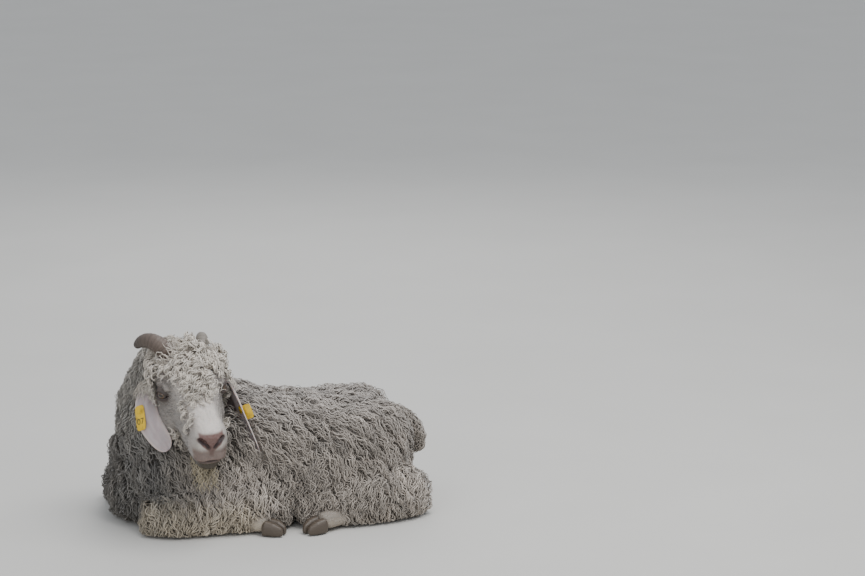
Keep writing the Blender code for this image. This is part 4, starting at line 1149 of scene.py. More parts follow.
def finer(count, *arrays):
    """Arrays of rows resampled to count points a row."""
    return [resampled(rows, np.tile(np.linspace(0, 1, count), (len(rows), 1))) for rows in arrays]


def on_skin(way, normals):
    """Ways laid flat on the skin, at length one."""
    return unit(way - normals * np.sum(way * normals, axis=1)[:, None])


def swirled(way, normals, angle):
    """Ways laid on the skin and turned on it by an angle each."""
    way = on_skin(way, normals)
    return way * np.cos(angle)[:, None] + np.cross(normals, way) * np.sin(angle)[:, None]


def into_goat(path, outward):
    """Paths and directions carried from the head's own axes into the goat's."""
    return to_goat(path.reshape(-1, 3), HEAD).reshape(path.shape), outward @ np.array(HEAD.to_3x3()).T


def curled(centre, outward, rise, size, turns, phase):
    """Laid paths lifted to the coat's height and wound like corkscrews."""
    rings = centre.shape[1]
    share = np.linspace(0, 1, rings)
    along = unit(np.gradient(centre, axis=1))
    aside = unit(np.cross(outward, along))
    angle = phase[:, None] + 2 * np.pi * turns[:, None] * share
    swing = size[:, None] * smoothstep(0.0, 0.30, share)
    lift = rise + 0.75 * swing * np.sin(angle)
    return centre + outward * lift[..., None] + aside * (swing * np.cos(angle))[..., None]


print("locks can be laid and curled")

# %% [markdown]
# Hair gives way to an ear or a horn, and a mesh doesn't. A lock that would run through one of these
# parts is made to end before it, and one with too little left isn't made.

# %% Cutting locks short
PARTS_REACH = 0.26  # no ear, tag or horn is farther than this from the head's middle
PARTS = [ears["left"], ears["right"], tags["left"][0], tags["right"][0], horns["left"], horns["right"]]
PART_TREES = [tree_of(part) for part in PARTS]


def cut_short(paths, gap):
    """Locks that end before they meet an ear, a tag or a horn, and whether enough of each is left."""
    count, rings = paths.shape[:2]
    last = np.full(count, rings - 1)
    near = np.flatnonzero(np.linalg.norm(paths[:, 0] - np.array(HEAD.translation), axis=1) < PARTS_REACH)
    for tree in PART_TREES:
        for i in near:
            for j in range(last[i] + 1):
                if tree.find_nearest(Vector(paths[i, j]), gap)[0] is not None:
                    last[i] = j - 1
                    break
    share = np.outer(np.maximum(last, 1) / (rings - 1), np.linspace(0, 1, rings))
    return resampled(paths, share), last >= 3


print("the lock builder is ready")

# %% [markdown]
# ## The body's locks
# On this goat the body fleece is a close mass of thin wavy strands, each about 2.6 millimetres
# thick. It falls back and down, and a slow noise turns its fall a little from patch to patch, so
# the coat doesn't look combed by a machine. Strands that would pass through an ear, a tag or a
# horn end before it.

# %% Where the body fleece grows and how it falls
CORE_TREE = tree_of(core)
TO_HEAD = HEAD.inverted()


def height_over(tree, spot):
    """How far a spot is outside a surface."""
    found, out, _, _ = tree.find_nearest(Vector(spot))
    return (Vector(spot) - found).dot(out)


def past_core(spots, chosen, least):
    """1 for each chosen spot that stands out of the fleece's core by at least so much, else 0."""
    for i in np.flatnonzero(chosen):
        chosen[i] = height_over(CORE_TREE, spots[i]) > least
    return np.where(chosen, 1.0, 0.0)


def body_wanted(spots, normals):
    """1 where the body's fleece grows, and 0 under the belly and where the head is."""
    local = to_goat(spots, TO_HEAD)
    by_head = (local[:, 0] > -0.085) & (np.linalg.norm(local, axis=1) < 0.20)
    for i in np.flatnonzero(by_head):
        by_head[i] = height_over(face_tree, local[i]) < 0.004
    under = (spots[:, 2] < 0.006) | ((normals[:, 2] < -0.75) & (spots[:, 2] < 0.03))
    return np.where(by_head | under, 0.0, 1.0)


def body_fall(spots, normals):
    """Which way the fleece lies: back and down, turned a little by slow noise."""
    upper = smoothstep(0.10, 0.22, spots[:, 2])
    sideways = 3.0 * np.clip(spots[:, 1], -0.08, 0.08)
    way = np.column_stack([0.35 + 0.75 * upper, sideways, np.full(len(spots), -1.0)])
    way[:, 0] -= 1.2 * smoothstep(-0.10, -0.20, spots[:, 0]) * smoothstep(0.20, 0.26, spots[:, 2])
    return swirled(way, normals, 0.75 * noise_at(spots, 0.075, 5.0))


def body_uv(spots):
    """The body's skin unrolled: length along the trunk, and the turn round it."""
    turn = np.arctan2(spots[:, 1], spots[:, 2] - 0.10)
    return np.column_stack([0.01 + 0.68 * (spots[:, 0] + 0.40) / 0.82, 0.02 + 0.96 * (turn / (2 * np.pi) + 0.5)])


def nearest(spots, centres):
    """For each spot, the number of the nearest centre."""
    found = KDTree(len(centres))
    for i, place in enumerate(centres):
        found.insert(place, i)
    found.balance()
    return np.array([found.find(spot)[1] for spot in spots])


print("the fall of the fleece is set")

# %% [markdown]
# Mohair doesn't hang hair by hair. About a dozen strands share one staple, a wavy tuft that thins
# to a point. So the staples come first, spread about 16 mm apart, and each has a path of its own.
# The strands start all over the core, bend in towards their staple's path, and wave in step with
# it. Dark gaps then open between staples, and not round every strand.

# %% Body fleece
STAPLE_SPACING, STRAND_SPACING = 0.017, 0.0050
STRAND_LENGTH, STRAND_THICK, STRAND_SWING = 0.056, 0.00142, 0.0040
RINGS = 13
rng = np.random.default_rng(21)
staples, staple_normals = spread(core.data, STAPLE_SPACING, body_wanted, 5, 24000)
staple_count = len(staples)
staple_lengths = STRAND_LENGTH * rng.uniform(0.85, 1.15, staple_count)
staple_paths, _ = laid(CORE_TREE, staples, staple_normals, body_fall(staples, staple_normals), staple_lengths,
                       7, rng.normal(0, 0.5, staple_count))
staple_phase = rng.uniform(0, 2 * np.pi, staple_count)
staple_swing = rng.uniform(0.65, 1.25, staple_count)
staple_pitch = rng.uniform(0.0165, 0.0230, staple_count)
staple_rise = rng.uniform(-0.18, 0.18, staple_count)
staple_tone = 1 + 0.13 * rng.standard_normal(staple_count)
print("staples:", staple_count)

roots, normals = spread(core.data, STRAND_SPACING, body_wanted, 3, 230000)
count = len(roots)
home = nearest(roots, staples)
lengths = staple_lengths[home] * rng.uniform(0.65, 1.0, count)
centre, outward = laid(CORE_TREE, roots, normals, body_fall(roots, normals), lengths, 7, rng.normal(0, 0.3, count))
centre, outward = finer(RINGS, centre, outward)
share = np.linspace(0, 1, RINGS)
beside = resampled(staple_paths[home], np.outer(lengths / staple_lengths[home], share))
loose = rng.random(count) < 0.12
pull = np.where(loose, 0.25, rng.uniform(0.50, 0.90, count))[:, None] * smoothstep(0.08, 0.85, share)
centre = centre + (beside - centre) * pull[..., None]
patchy = noise_at(roots, 0.045, 9.0)
lower = smoothstep(0.20, 0.09, roots[:, 2])
top = (COAT_DEPTH - CORE_DEPTH) * (0.62 + 0.16 * patchy + staple_rise[home] + rng.uniform(-0.16, 0.16, count))
top *= 1 - 0.5 * smoothstep(0.27, 0.33, roots[:, 2]) * smoothstep(-0.18, -0.23, roots[:, 0])
rise = top[:, None] * (smoothstep(-0.05, 0.34, share) - 0.22 * smoothstep(0.5, 1.0, share))
rise -= 0.006 * (1 - share * 3).clip(0, 1)
phase = staple_phase[home] + np.where(loose, 3.0, 0.45) * rng.standard_normal(count)
swing = STRAND_SWING * staple_swing[home] * (0.75 + 0.35 * lower) * rng.uniform(0.8, 1.15, count)
path = curled(centre, outward, rise, swing, lengths / staple_pitch[home], phase)
thick = STRAND_THICK * np.where(loose, 0.6, rng.uniform(0.7, 1.25, count)) * 1.0
profile = np.interp(share, [0, 0.15, 0.5, 0.8, 0.93, 1.0], [0.9, 1.0, 1.0, 0.8, 0.5, 0.15])
path[:, :, 2] = np.maximum(path[:, :, 2], 0.0045)
colours = coat_tone(roots) * (staple_tone[home] + 0.11 * rng.standard_normal(count))[:, None]
path, keep = cut_short(path, 0.0030)
BANDS = ["chest", "shoulder", "withers", "ribs", "loin", "haunch", "rump", "tailhead"]
band_of = np.searchsorted(np.quantile(roots[:, 0], np.linspace(0, 1, len(BANDS) + 1)[1:-1]), roots[:, 0])
fleece = []
for number, band in enumerate(BANDS):
    mine = keep & (band_of == number)
    fleece.append(lock_mesh("fleece_" + band, path[mine], outward[mine], thick[mine], profile, 3,
                            body_uv(roots[mine]), colours[mine], 0.7))
print("body strands:", int(keep.sum()), "in", len(fleece), "pieces")

# %% [markdown]
# ## The head's curls
# The hair on the head is whiter, and its curls are shorter and tighter. It tumbles over the brow
# from between the horns, and thins to short straight hair on the cheeks and down the nose.

# %% Head locks


def eye_distance(spots):
    """How far each spot is from the middle of the nearer eye."""
    return np.minimum(*[np.linalg.norm(spots - sided(EYE_AT, side), axis=1) for side in (1, -1)])


def head_wanted(spots, normals):
    """The head's curls: over the poll and forehead, down one side of the nose, behind the cheeks."""
    f, out, u = spots[:, 0], np.abs(spots[:, 1]), spots[:, 2]
    ragged = noise_at(spots, 0.02, 4.0)
    half = np.interp(f, [-0.05, -0.03, 0.0, 0.03, 0.06, 0.085], [0.080, 0.056, 0.037, 0.031, 0.026, 0.004])
    topknot = (u > 0.0) & (f < 0.085) & (out < half + 0.006 * ragged)
    fringe = (f > 0.05) & (f < 0.118) & (spots[:, 1] < -0.020) & (spots[:, 1] > -0.038) & (u > -0.030)
    behind = (f < -0.040 + 0.008 * ragged) & (eye_distance(spots) > 0.036)
    throat = (u < -0.070) & (f < 0.030 + 0.020 * ragged)
    return np.where(topknot | behind | throat, 1.0, np.where(fringe & (ragged > -0.15), 1.15, 0.0))


def head_uv(local):
    """The head's skin unrolled beside the body's: length along the head, and the turn round it."""
    turn = np.arctan2(local[:, 1], local[:, 2])
    return np.column_stack([0.72 + 0.26 * (local[:, 0] + 0.13) / 0.31, 0.02 + 0.96 * (turn / (2 * np.pi) + 0.5)])


def head_fall(spots, normals):
    """Which way the head's curls tumble: forwards and out over the brow, down behind the cheeks."""
    f, side, _ = spots.T
    way = np.column_stack([0.75 + 0 * f, 7.0 * side, -0.55 - 4.0 * np.clip(-f - 0.02, 0, 0.1)])
    return swirled(way, normals, noise_at(spots, 0.022, 7.0))


def fullness(spots):
    """1 on the topknot and 0 where the curls thin out to short hair."""
    f, side, u = spots.T
    crown = smoothstep(0.085, 0.040, f + 0.3 * np.abs(side)) * smoothstep(-0.11, -0.07, u)
    fringe = smoothstep(-0.014, -0.022, side) * smoothstep(-0.044, -0.036, side) * smoothstep(0.04, 0.06, f)
    return np.maximum(crown, 0.55 * fringe)


CURL_SPACING, LOCK_SPACING, LOCK_PITCH = 0.0135, 0.0040, 0.0165
rng = np.random.default_rng(33)
curls, curl_normals = spread(face_form.data, CURL_SPACING, head_wanted, 9, 12000)
curl_count = len(curls)
curl_lengths = (0.018 + 0.025 * fullness(curls)) * rng.uniform(0.85, 1.15, curl_count)
curl_paths, _ = laid(face_tree, curls, curl_normals, head_fall(curls, curl_normals), curl_lengths, 5,
                     rng.normal(0, 1.1, curl_count))
curl_phase = rng.uniform(0, 2 * np.pi, curl_count)
curl_swing = (0.0028 + 0.0030 * fullness(curls)) * rng.uniform(0.8, 1.2, curl_count)
curl_rise = rng.uniform(0.55, 1.1, curl_count)
roots, normals = spread(face_form.data, LOCK_SPACING, head_wanted, 8, 60000)
count = len(roots)
home = nearest(roots, curls)
full = fullness(roots)
lengths = curl_lengths[home] * rng.uniform(0.7, 1.0, count)
centre, outward = laid(face_tree, roots, normals, head_fall(roots, normals), lengths, 5, rng.normal(0, 0.6, count))
centre, outward = finer(RINGS, centre, outward)
share = np.linspace(0, 1, RINGS)
beside = resampled(curl_paths[home], np.outer(lengths / curl_lengths[home], share))
pull = rng.uniform(0.55, 0.95, count)[:, None] * smoothstep(0.0, 0.6, share)
centre = centre + (beside - centre) * pull[..., None]
top = (0.005 + 0.013 * full) * curl_rise[home] * rng.uniform(0.75, 1.15, count)
rise = top[:, None] * smoothstep(-0.05, 0.40, share) - 0.004 * (1 - share * 3).clip(0, 1)
phase = curl_phase[home] + rng.normal(0, 0.4, count)
swing = curl_swing[home] * rng.uniform(0.85, 1.1, count)
path = curled(centre, outward, rise, swing, lengths / LOCK_PITCH, phase)
thick = (0.0010 + 0.0003 * full) * rng.uniform(0.75, 1.2, count) * 1.0
shaded = smoothstep(-0.03, -0.07, roots[:, 0]) * smoothstep(0.05, 0.0, roots[:, 2])
top_tone = FLEECE["topknot"] + (FLEECE["neck"] * 1.15 - FLEECE["topknot"]) * shaded[:, None]
colours = top_tone * (1 + 0.10 * rng.standard_normal((count, 1)))
profile = np.interp(share, [0, 0.2, 0.7, 0.9, 1.0], [0.8, 1.0, 0.95, 0.65, 0.25])
path, outward = into_goat(path, outward)
path, keep = cut_short(path, 0.0025)
# Starting the tip value at 0.2 gives the topknot's roots less of the painted root shade.
topknot = lock_mesh("topknot", path[keep], outward[keep], thick[keep], profile, 3, head_uv(roots[keep]),
                    colours[keep], tip_from=0.2)
print("head locks:", int(keep.sum()), "triangles:", 2 * len(topknot.data.polygons))

# %% [markdown]
# Curls also grow over the roots of the ears and horns. Each one starts on the head or low on the
# ear or horn, runs a short way along it, and hides where it leaves the skull.

# %% Hair over the bases of the ears and horns
STEM, HAIR_RINGS = 40, 13  # stations read along an ear or a horn, and rings in each of its curls
EAR_LONG, EAR_PITCH = 0.20, 0.014  # how long an ear is, and how far a curl on it goes in one turn
HORN_LONG, HORN_PITCH = 0.13, 0.015


def along_stem(rng, columns, count, starts, reaches):
    """Where each curl runs along a stem: the stem's columns there, its middle, the places and the reach."""
    start = rng.uniform(*starts, count)
    stop = start + rng.uniform(*reaches, count)
    t = start[:, None] + (stop - start)[:, None] * np.linspace(0, 1, HAIR_RINGS)
    rows = np.stack([np.interp(t, np.linspace(0, 1, STEM), column) for column in columns.T], axis=-1)
    before = np.minimum(t, 0)[..., None] * (columns[1, :3] - columns[0, :3]) * (STEM - 1)
    return rows, rows[..., 0:3] + before, t, stop - start


def stem_curls(rng, surface, outward, lift, sizes, turns):
    """Curls wound along a stem, in the goat's frame, and their roots in the head's."""
    size = rng.uniform(*sizes, len(surface))
    path = curled(surface, outward, lift, size, turns, rng.uniform(0, 6.3, len(surface)))
    return (*into_goat(path, outward), surface[:, 0])


def ear_hair(stations, side, cup, count, faces, seed):
    """Curls that leave the head beside an ear and lie over its first quarter, on the side that faces."""
    rng = np.random.default_rng(seed)
    columns = np.column_stack(ear_frames(stations, side, cup, STEM))
    rows, middle, t, reach = along_stem(rng, columns, count, (-0.11, 0.02), (0.18, 0.30))
    across, inward, width, bend = rows[..., 3:6], rows[..., 6:9], rows[..., 9], rows[..., 10]
    sway = rng.uniform(-1.1, 1.1, count)[:, None]
    turn = bend * (sway + 0.15 * np.sin(6 * t + rng.uniform(0, 6.3, (count, 1))))
    radius = (width / 2 / np.sin(bend))[..., None]
    spoke = across * np.sin(turn)[..., None] - inward * np.cos(turn)[..., None]
    surface = middle + inward * radius + spoke * radius
    lift = 0.0075 + rng.uniform(0, 0.006, count)[:, None] * (1 - 0.5 * np.linspace(0, 1, HAIR_RINGS))
    return stem_curls(rng, surface, spoke * faces, lift, (0.0018, 0.0034), reach * EAR_LONG / EAR_PITCH)


def horn_hair(stations, side, count, seed):
    """Curls that stand up round the base of a horn."""
    rng = np.random.default_rng(seed)
    columns = np.column_stack(horn_frames(stations, side, STEM))
    rows, middle, _, reach = along_stem(rng, columns, count, (-0.08, 0.04), (0.16, 0.30))
    share = np.linspace(0, 1, HAIR_RINGS)
    turn = rng.uniform(0, 2 * np.pi, (count, 1)) + rng.normal(0, 0.5, (count, 1)) * share
    outward = rows[..., 3:6] * np.cos(turn)[..., None] + rows[..., 6:9] * np.sin(turn)[..., None]
    surface = middle + outward * rows[..., 9:10] * 1.04
    lift = 0.0062 + rng.uniform(0, 0.007, (count, 1)) * share
    return stem_curls(rng, surface, outward, lift, (0.0022, 0.0036), reach * HORN_LONG / HORN_PITCH)


parts = [horn_hair(HORN_RIGHT, -1, 150, 66), horn_hair(HORN_LEFT, 1, 150, 67)]
parts += [ear_hair(EAR_RIGHT, -1, CUP_RIGHT, 170, 1, 61), ear_hair(EAR_LEFT, 1, CUP_LEFT, 130, 1, 62),
         ear_hair(EAR_LEFT, 1, CUP_LEFT, 110, -1, 63)]
path, outward, roots = (np.concatenate(rows) for rows in zip(*parts))
rng = np.random.default_rng(64)
path, keep = cut_short(path, 0.0022)
colours = FLEECE["topknot"] * 0.86 * (1 + 0.10 * rng.standard_normal((len(path), 1)))
thick = rng.uniform(0.0009, 0.0014, len(path))
profile = np.interp(np.linspace(0, 1, HAIR_RINGS), [0, 0.2, 0.7, 0.9, 1.0], [0.8, 1.0, 0.9, 0.6, 0.2])
ear_locks = lock_mesh("ear_base_locks", path[keep], outward[keep], thick[keep], profile, 3,
                      head_uv(roots[keep]), colours[keep])
print("locks round the ears and horns:", int(keep.sum()))

# %% [markdown]
# The face has a short flat coat that points back and down. It softens the edge of the curls, and
# it stops at the eyes, the lips and the bare nose.

# %% Face hair
TUFT = np.array((1.0, 0.9, 0.6, 0.1))  # thickness of a short tuft from its root to its tip
FACE_SPACING, LEG_SPACING = ((0.0029, 0.0030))
EYE_CLEAR, LIP_CLEAR = 0.0165, 0.0045  # no hair grows nearer than this to an eye's middle or the mouth


def short_wanted(spots, normals):
    """1 where the face's short hair grows."""
    on_face = (spots[:, 0] > -0.060) & (spots[:, 0] < 0.150) & (eye_distance(spots) > EYE_CLEAR)
    lips = line_distance(spots * (1, 0, 1), MOUTH) < LIP_CLEAR
    return np.where(on_face & ~lips, 1.0, 0.0)


roots, normals = spread(face_form.data, FACE_SPACING, short_wanted, 12, 48000)
count = len(roots)
f, side, u = roots.T
way = np.column_stack([np.full(count, -1.0), 5.0 * side, -0.25 + 3.5 * np.clip(u, -0.1, 0.05)])
rng = np.random.default_rng(44)
cheek = smoothstep(0.022, 0.040, np.abs(side)) * smoothstep(0.152, 0.120, f)
lengths = (0.0060 + 0.0040 * smoothstep(0.15, 0.05, f) + 0.0050 * cheek) * rng.uniform(0.7, 1.3, count)
lengths = np.minimum(lengths, 0.0035 + 0.7 * np.maximum(eye_distance(roots) - EYE_CLEAR, 0))
centre, outward = laid(face_tree, roots, normals, on_skin(way, normals), lengths, len(TUFT),
                       rng.normal(0, 0.5, count))
share = np.linspace(0, 1, len(TUFT))
rise = ((0.0016 + 0.0022 * cheek) * rng.uniform(0.5, 1.3, count))[:, None] * share - 0.0008
path = centre + outward * rise[..., None]
thick = 0.00080 * rng.uniform(0.8, 1.2, count) * 1.0
colours = face_tone(roots) * (1 + 0.17 * rng.standard_normal((count, 1)))
path, outward = into_goat(path, outward)
short_hair = lock_mesh("face_hair", path, outward, thick, TUFT, 3, head_uv(roots), colours, 0.5)
print("face tufts:", count, "faces:", len(short_hair.data.polygons))

# %% [markdown]
# The cannons stand out of the fleece in short hair too, which points down to the claws.

# %% Short hair on the bare legs
claw_middles = np.array([points_of(claw.data).mean(axis=0) for claw in claws.values()])


def leg_wanted(spots, normals):
    """1 on the part of each leg that stands out of the fleece."""
    return past_core(spots, (spots[:, 2] < 0.075) & (spots[:, 2] > 0.004), 0.0015)


roots, normals = spread(skin.data, LEG_SPACING, leg_wanted, 15, 60000)
count = len(roots)
way = on_skin(unit(claw_middles[nearest(roots, claw_middles)] - roots), normals)
rng = np.random.default_rng(46)
share = np.linspace(0, 1, len(TUFT))
path = roots[:, None] + way[:, None] * (0.0085 * rng.uniform(0.7, 1.3, (count, 1)) * share)[..., None]
path = path + normals[:, None] * (0.0020 * rng.uniform(0.4, 1.2, (count, 1)) * share - 0.0006)[..., None]
path[:, :, 2] = np.maximum(path[:, :, 2], 0.0022)
colours = coat_tone(roots) * (1.1 + 0.12 * rng.standard_normal((count, 1)))
outward = np.repeat(normals[:, None], len(TUFT), axis=1)
thick = 0.0009 * rng.uniform(0.8, 1.2, count)
leg_hair = lock_mesh("leg_hair", path, outward, thick, TUFT, 3, body_uv(roots), colours, 0.5)
print("leg tufts:", count)

# %% [markdown]
# The beard hangs from the chin in long loose waves, and bends forwards a little as it falls. The
# tail has shorter locks that part down its middle.

# %% Beard and tail locks
BEARD_RINGS, BEARD_LENGTH = 28, 0.086
TAIL_SPACING, TAIL_LENGTH, TAIL_PITCH = 0.0036, 0.034, 0.017
rng = np.random.default_rng(55)
count = 190
to_local = np.array(TO_HEAD.to_3x3())
down = unit(to_local @ np.array((0.10, -0.20, -1.0)))
ahead = unit(to_local @ np.array((-0.25, -0.95, 0.20)))
f = rng.uniform(0.030, 0.126, count)
side = rng.uniform(-1, 1, count) * (0.017 - 0.05 * np.abs(f - 0.08))
roots = np.column_stack([f, side, -0.084 - 0.006 * rng.random(count)])
ways = unit(down + np.column_stack([rng.normal(0, 0.05, count), side * 7 + rng.normal(0, 0.05, count),
                                    rng.normal(0, 0.04, count)]))
lengths = BEARD_LENGTH * rng.uniform(0.45, 1.0, count) * (0.72 + 0.28 * smoothstep(0.03, 0.09, f))
share = np.linspace(0, 1, BEARD_RINGS)
centre = roots[:, None] + ways[:, None] * lengths[:, None, None] * share[:, None]
centre = centre + ahead * rng.uniform(0.0, 0.014, count)[:, None, None] * share[:, None] ** 2
outward = np.tile(ahead, (count, BEARD_RINGS, 1))
beard_phase = 2.0 * noise_at(roots, 0.012, 3.0) + rng.normal(0, 0.8, count)
path = curled(centre, outward, 0.0, rng.uniform(0.0020, 0.0042, count),
              lengths / rng.uniform(0.019, 0.026, count), beard_phase)
colours = FLEECE["beard"] * rng.uniform(0.75, 1.2, (count, 1))
path, outward = into_goat(path, outward)
beard = lock_mesh("beard_locks", path, outward, 0.0017 * rng.uniform(0.7, 1.3, count),
                  np.interp(share, [0, 0.3, 0.8, 1.0], [1.0, 1.0, 0.7, 0.15]), 4, head_uv(roots), colours)


def tail_wanted(spots, normals):
    """1 on the tail where it stands out of the rump's fleece."""
    near = (spots[:, 0] > 0.295) & (np.abs(spots[:, 1] - 0.005) < 0.045) & (spots[:, 2] > 0.095)
    return past_core(spots, near, 0.002)


roots, normals = spread(skin.data, TAIL_SPACING, tail_wanted, 57, 90000)
count = len(roots)
way = np.column_stack([np.full(count, 0.35), 6.0 * (roots[:, 1] - 0.005), np.full(count, -1.0)])
lengths = TAIL_LENGTH * rng.uniform(0.7, 1.1, count)
centre, outward = laid(tree_of(skin), roots, normals, on_skin(way, normals), lengths, 6,
                       rng.normal(0, 0.5, count))
centre, outward = finer(RINGS, centre, outward)
share = np.linspace(0, 1, RINGS)
rise = (0.0095 * rng.uniform(0.5, 1.1, count))[:, None] * smoothstep(-0.05, 0.4, share)
rise -= 0.002 * (1 - share * 3).clip(0, 1)
phase = 2.5 * noise_at(roots, 0.02, 5.0) + rng.normal(0, 0.5, count)
path = curled(centre, outward, rise, rng.uniform(0.0022, 0.0036, count), lengths / TAIL_PITCH, phase)
colours = coat_tone(roots) * (1 + 0.12 * rng.standard_normal((count, 1)))
tail_locks = lock_mesh("tail_locks", path, outward, 0.0014 * rng.uniform(0.7, 1.2, count),
                       np.interp(share, [0, 0.3, 0.8, 1.0], [1.0, 1.0, 0.8, 0.2]), 3, body_uv(roots), colours)
print("beard and tail locks:", len(beard.data.polygons) + len(tail_locks.data.polygons), "faces")

# %% [markdown]
# ## Materials
# Colour could be painted on images, but these would have to travel with the file. So each material
# reads its colour from the points of the mesh and adds the fine grain that the mesh doesn't carry.
# The same few steps come again in each one, so they are functions.

# %% Material helpers


def stored(tree, name, output="Fac"):
    """A value or a colour that is stored on the points of the mesh."""
    return add_node(tree, "ShaderNodeAttribute", attribute_name=name).outputs[output]


def noise_on(tree, scale, detail=2.0, **more):
    """Noise that is fixed to the piece: at a scale of 100 its patches are about a centimetre wide."""
    place = add_node(tree, "ShaderNodeTexCoord").outputs["Object"]
    values = {"Scale": scale, "Detail": detail, **more}
    return add_node(tree, "ShaderNodeTexNoise", values, {"Vector": place}).outputs["Fac"]


def ramp(tree, value, *stops):
    """Colours that follow a value, from pairs of a place and a colour in rising order."""
    node = add_node(tree, "ShaderNodeValToRGB", links={"Fac": value})
    first, last = node.color_ramp.elements
    first.position, first.color = stops[0]
    last.position, last.color = stops[-1]
    for place, colour in stops[1:-1]:
        node.color_ramp.elements.new(place).color = colour
    return node.outputs["Color"]


def spanned(tree, value, low, high, start=0.0, stop=1.0):
    """A value between start and stop, carried to between low and high."""
    values = {"From Min": start, "From Max": stop, "To Min": low, "To Max": high}
    return add_node(tree, "ShaderNodeMapRange", values, {"Value": value}).outputs[0]


def times(tree, first, second):
    """Two colours multiplied."""
    return add_node(tree, "ShaderNodeMix", {"Factor": 1.0}, {"A": first, "B": second},
                    data_type="RGBA", blend_type="MULTIPLY").outputs["Result"]


def finish(tree, shader, colour, height=None, strength=0.0, distance=0.0):
    """The material's colour, and its relief if it has one."""
    tree.links.new(colour, shader.inputs["Base Color"])
    if height:
        bump = add_node(tree, "ShaderNodeBump", {"Strength": strength, "Distance": distance}, {"Height": height})
        tree.links.new(bump.outputs["Normal"], shader.inputs["Normal"])


print("material helpers are ready")

# %% [markdown]
# Goat hair is protein: it has an IOR near 1.55 and a soft shine along each fibre. Mohair's scales
# are flat, so it shines more than wool. A hair shader needs real hair curves, so a plain surface
# with some sheen and with streaks along each strand stands in for it.

# %% Mohair
mohair, tree, shader = new_material("mohair", Roughness=0.62, IOR=1.55, Sheen_Weight=0.25, Sheen_Roughness=0.5)
strand_uv = add_node(tree, "ShaderNodeUVMap", uv_map="strand")
# Seven streaks run round a strand 2.6 mm thick, and three along it; real fibres, 0.03 mm, are too
# fine to draw.
stretch = add_node(tree, "ShaderNodeMapping", {"Scale": (7.0, 3.0, 1.0)}, {"Vector": strand_uv.outputs["UV"]})
fibres = add_node(tree, "ShaderNodeTexNoise", {"Scale": 1.0, "Detail": 3.0, "Roughness": 0.6},
                  {"Vector": stretch.outputs[0]}).outputs["Fac"]
# A strand is darker at its root, where its neighbours shade it.
shade = ramp(tree, stored(tree, "tip"), (0.0, (0.50, 0.47, 0.44, 1.0)), (0.42, (1.0, 1.0, 1.0, 1.0)))
rooted = times(tree, stored(tree, "coat", "Color"), shade)
finish(tree, shader, times(tree, rooted, spanned(tree, fibres, 0.72, 1.28)), fibres, 0.6, 0.0008)
print("mohair is ready")

# %% [markdown]
# The face's skin is pink and lets a little light through, and short white hair covers all of it but
# the nose, the lips and the lids. A value stored on the points says where it is bare: there the
# surface is damp and has pores, and elsewhere it is dull and tufted.

# %% Skin under short hair
skin_hair, tree, shader = new_material("short_haired_skin", Roughness=0.68, IOR=1.5, Subsurface_Weight=0.06,
                                       Subsurface_Radius=(0.004, 0.002, 0.001), Subsurface_Scale=0.5)
bare = stored(tree, "bare")
# Short hairs lie in tufts about 2.4 mm apart; bare nose skin has pores about 1.2 mm apart.
hairs = noise_on(tree, 420.0, 3.0)
place = add_node(tree, "ShaderNodeTexCoord")
pores = add_node(tree, "ShaderNodeTexVoronoi", {"Scale": 800.0}, {"Vector": place.outputs["Object"]})
height = add_node(tree, "ShaderNodeMix", links={"Factor": bare, "A": hairs, "B": pores.outputs["Distance"]},
                  data_type="FLOAT")
tree.links.new(spanned(tree, bare, 0.72, 0.42), shader.inputs["Roughness"])
toned = times(tree, stored(tree, "coat", "Color"), spanned(tree, hairs, 0.80, 1.18))
finish(tree, shader, toned, height.outputs["Result"], 0.5, 0.0007)
print("the face's skin is ready")

# %% [markdown]
# An ear is thin, so more light comes through it than through the face. Its veins show as soft
# darker branches. They could be drawn one by one, but bent noise looks much the same.

# %% Ear skin
ear_skin, tree, shader = new_material("ear_skin", Roughness=0.62, IOR=1.5, Subsurface_Weight=0.15,
                                      Subsurface_Radius=(0.004, 0.0015, 0.001), Subsurface_Scale=0.5)
# Down about 3 mm long, and veins that branch over about 20 mm.
veins = ramp(tree, noise_on(tree, 45.0, Distortion=1.5),
             (0.35, (0.97, 0.92, 0.93, 1.0)), (0.60, (1.02, 1.01, 1.0, 1.0)))
finish(tree, shader, times(tree, stored(tree, "coat", "Color"), veins), noise_on(tree, 300.0, 4.0), 0.4, 0.0006)
print("the ears' skin is ready")

# %% [markdown]
# Horn and hoof are hair's own protein packed hard, so they share its IOR and are smoother. Dirt
# stays in a horn's grooves, which the mesh knows, so a stored value darkens them. A hoof's lines
# are too fine for the mesh and are drawn as a wave.

# %% Horn and hoof
horn_stuff, tree, shader = new_material("horn_keratin", Roughness=0.55, IOR=1.55)
base = ramp(tree, stored(tree, "along"), (0.0, rgba("#615247")), (0.45, rgba("#54453c")), (1.0, rgba("#362e29")))
# Both horns are mixed towards pale grey, the left one far more than the right.
greyed = add_node(tree, "ShaderNodeMix", {"B": rgba("#767067")},
                  {"Factor": stored(tree, "paleness"), "A": base}, data_type="RGBA")
grain = noise_on(tree, 160.0, 4.0)  # flecks about 6 mm long
dirt = add_node(tree, "ShaderNodeMath", operation="MULTIPLY", links={0: stored(tree, "groove"), 1: grain})
dark = spanned(tree, dirt.outputs[0], 1.08, 0.55, stop=0.6)
finish(tree, shader, times(tree, greyed.outputs["Result"], dark), grain, 0.7, 0.0012)

hoof_stuff, tree, shader = new_material("hoof_keratin", Roughness=0.5, IOR=1.55)
place = add_node(tree, "ShaderNodeTexCoord")
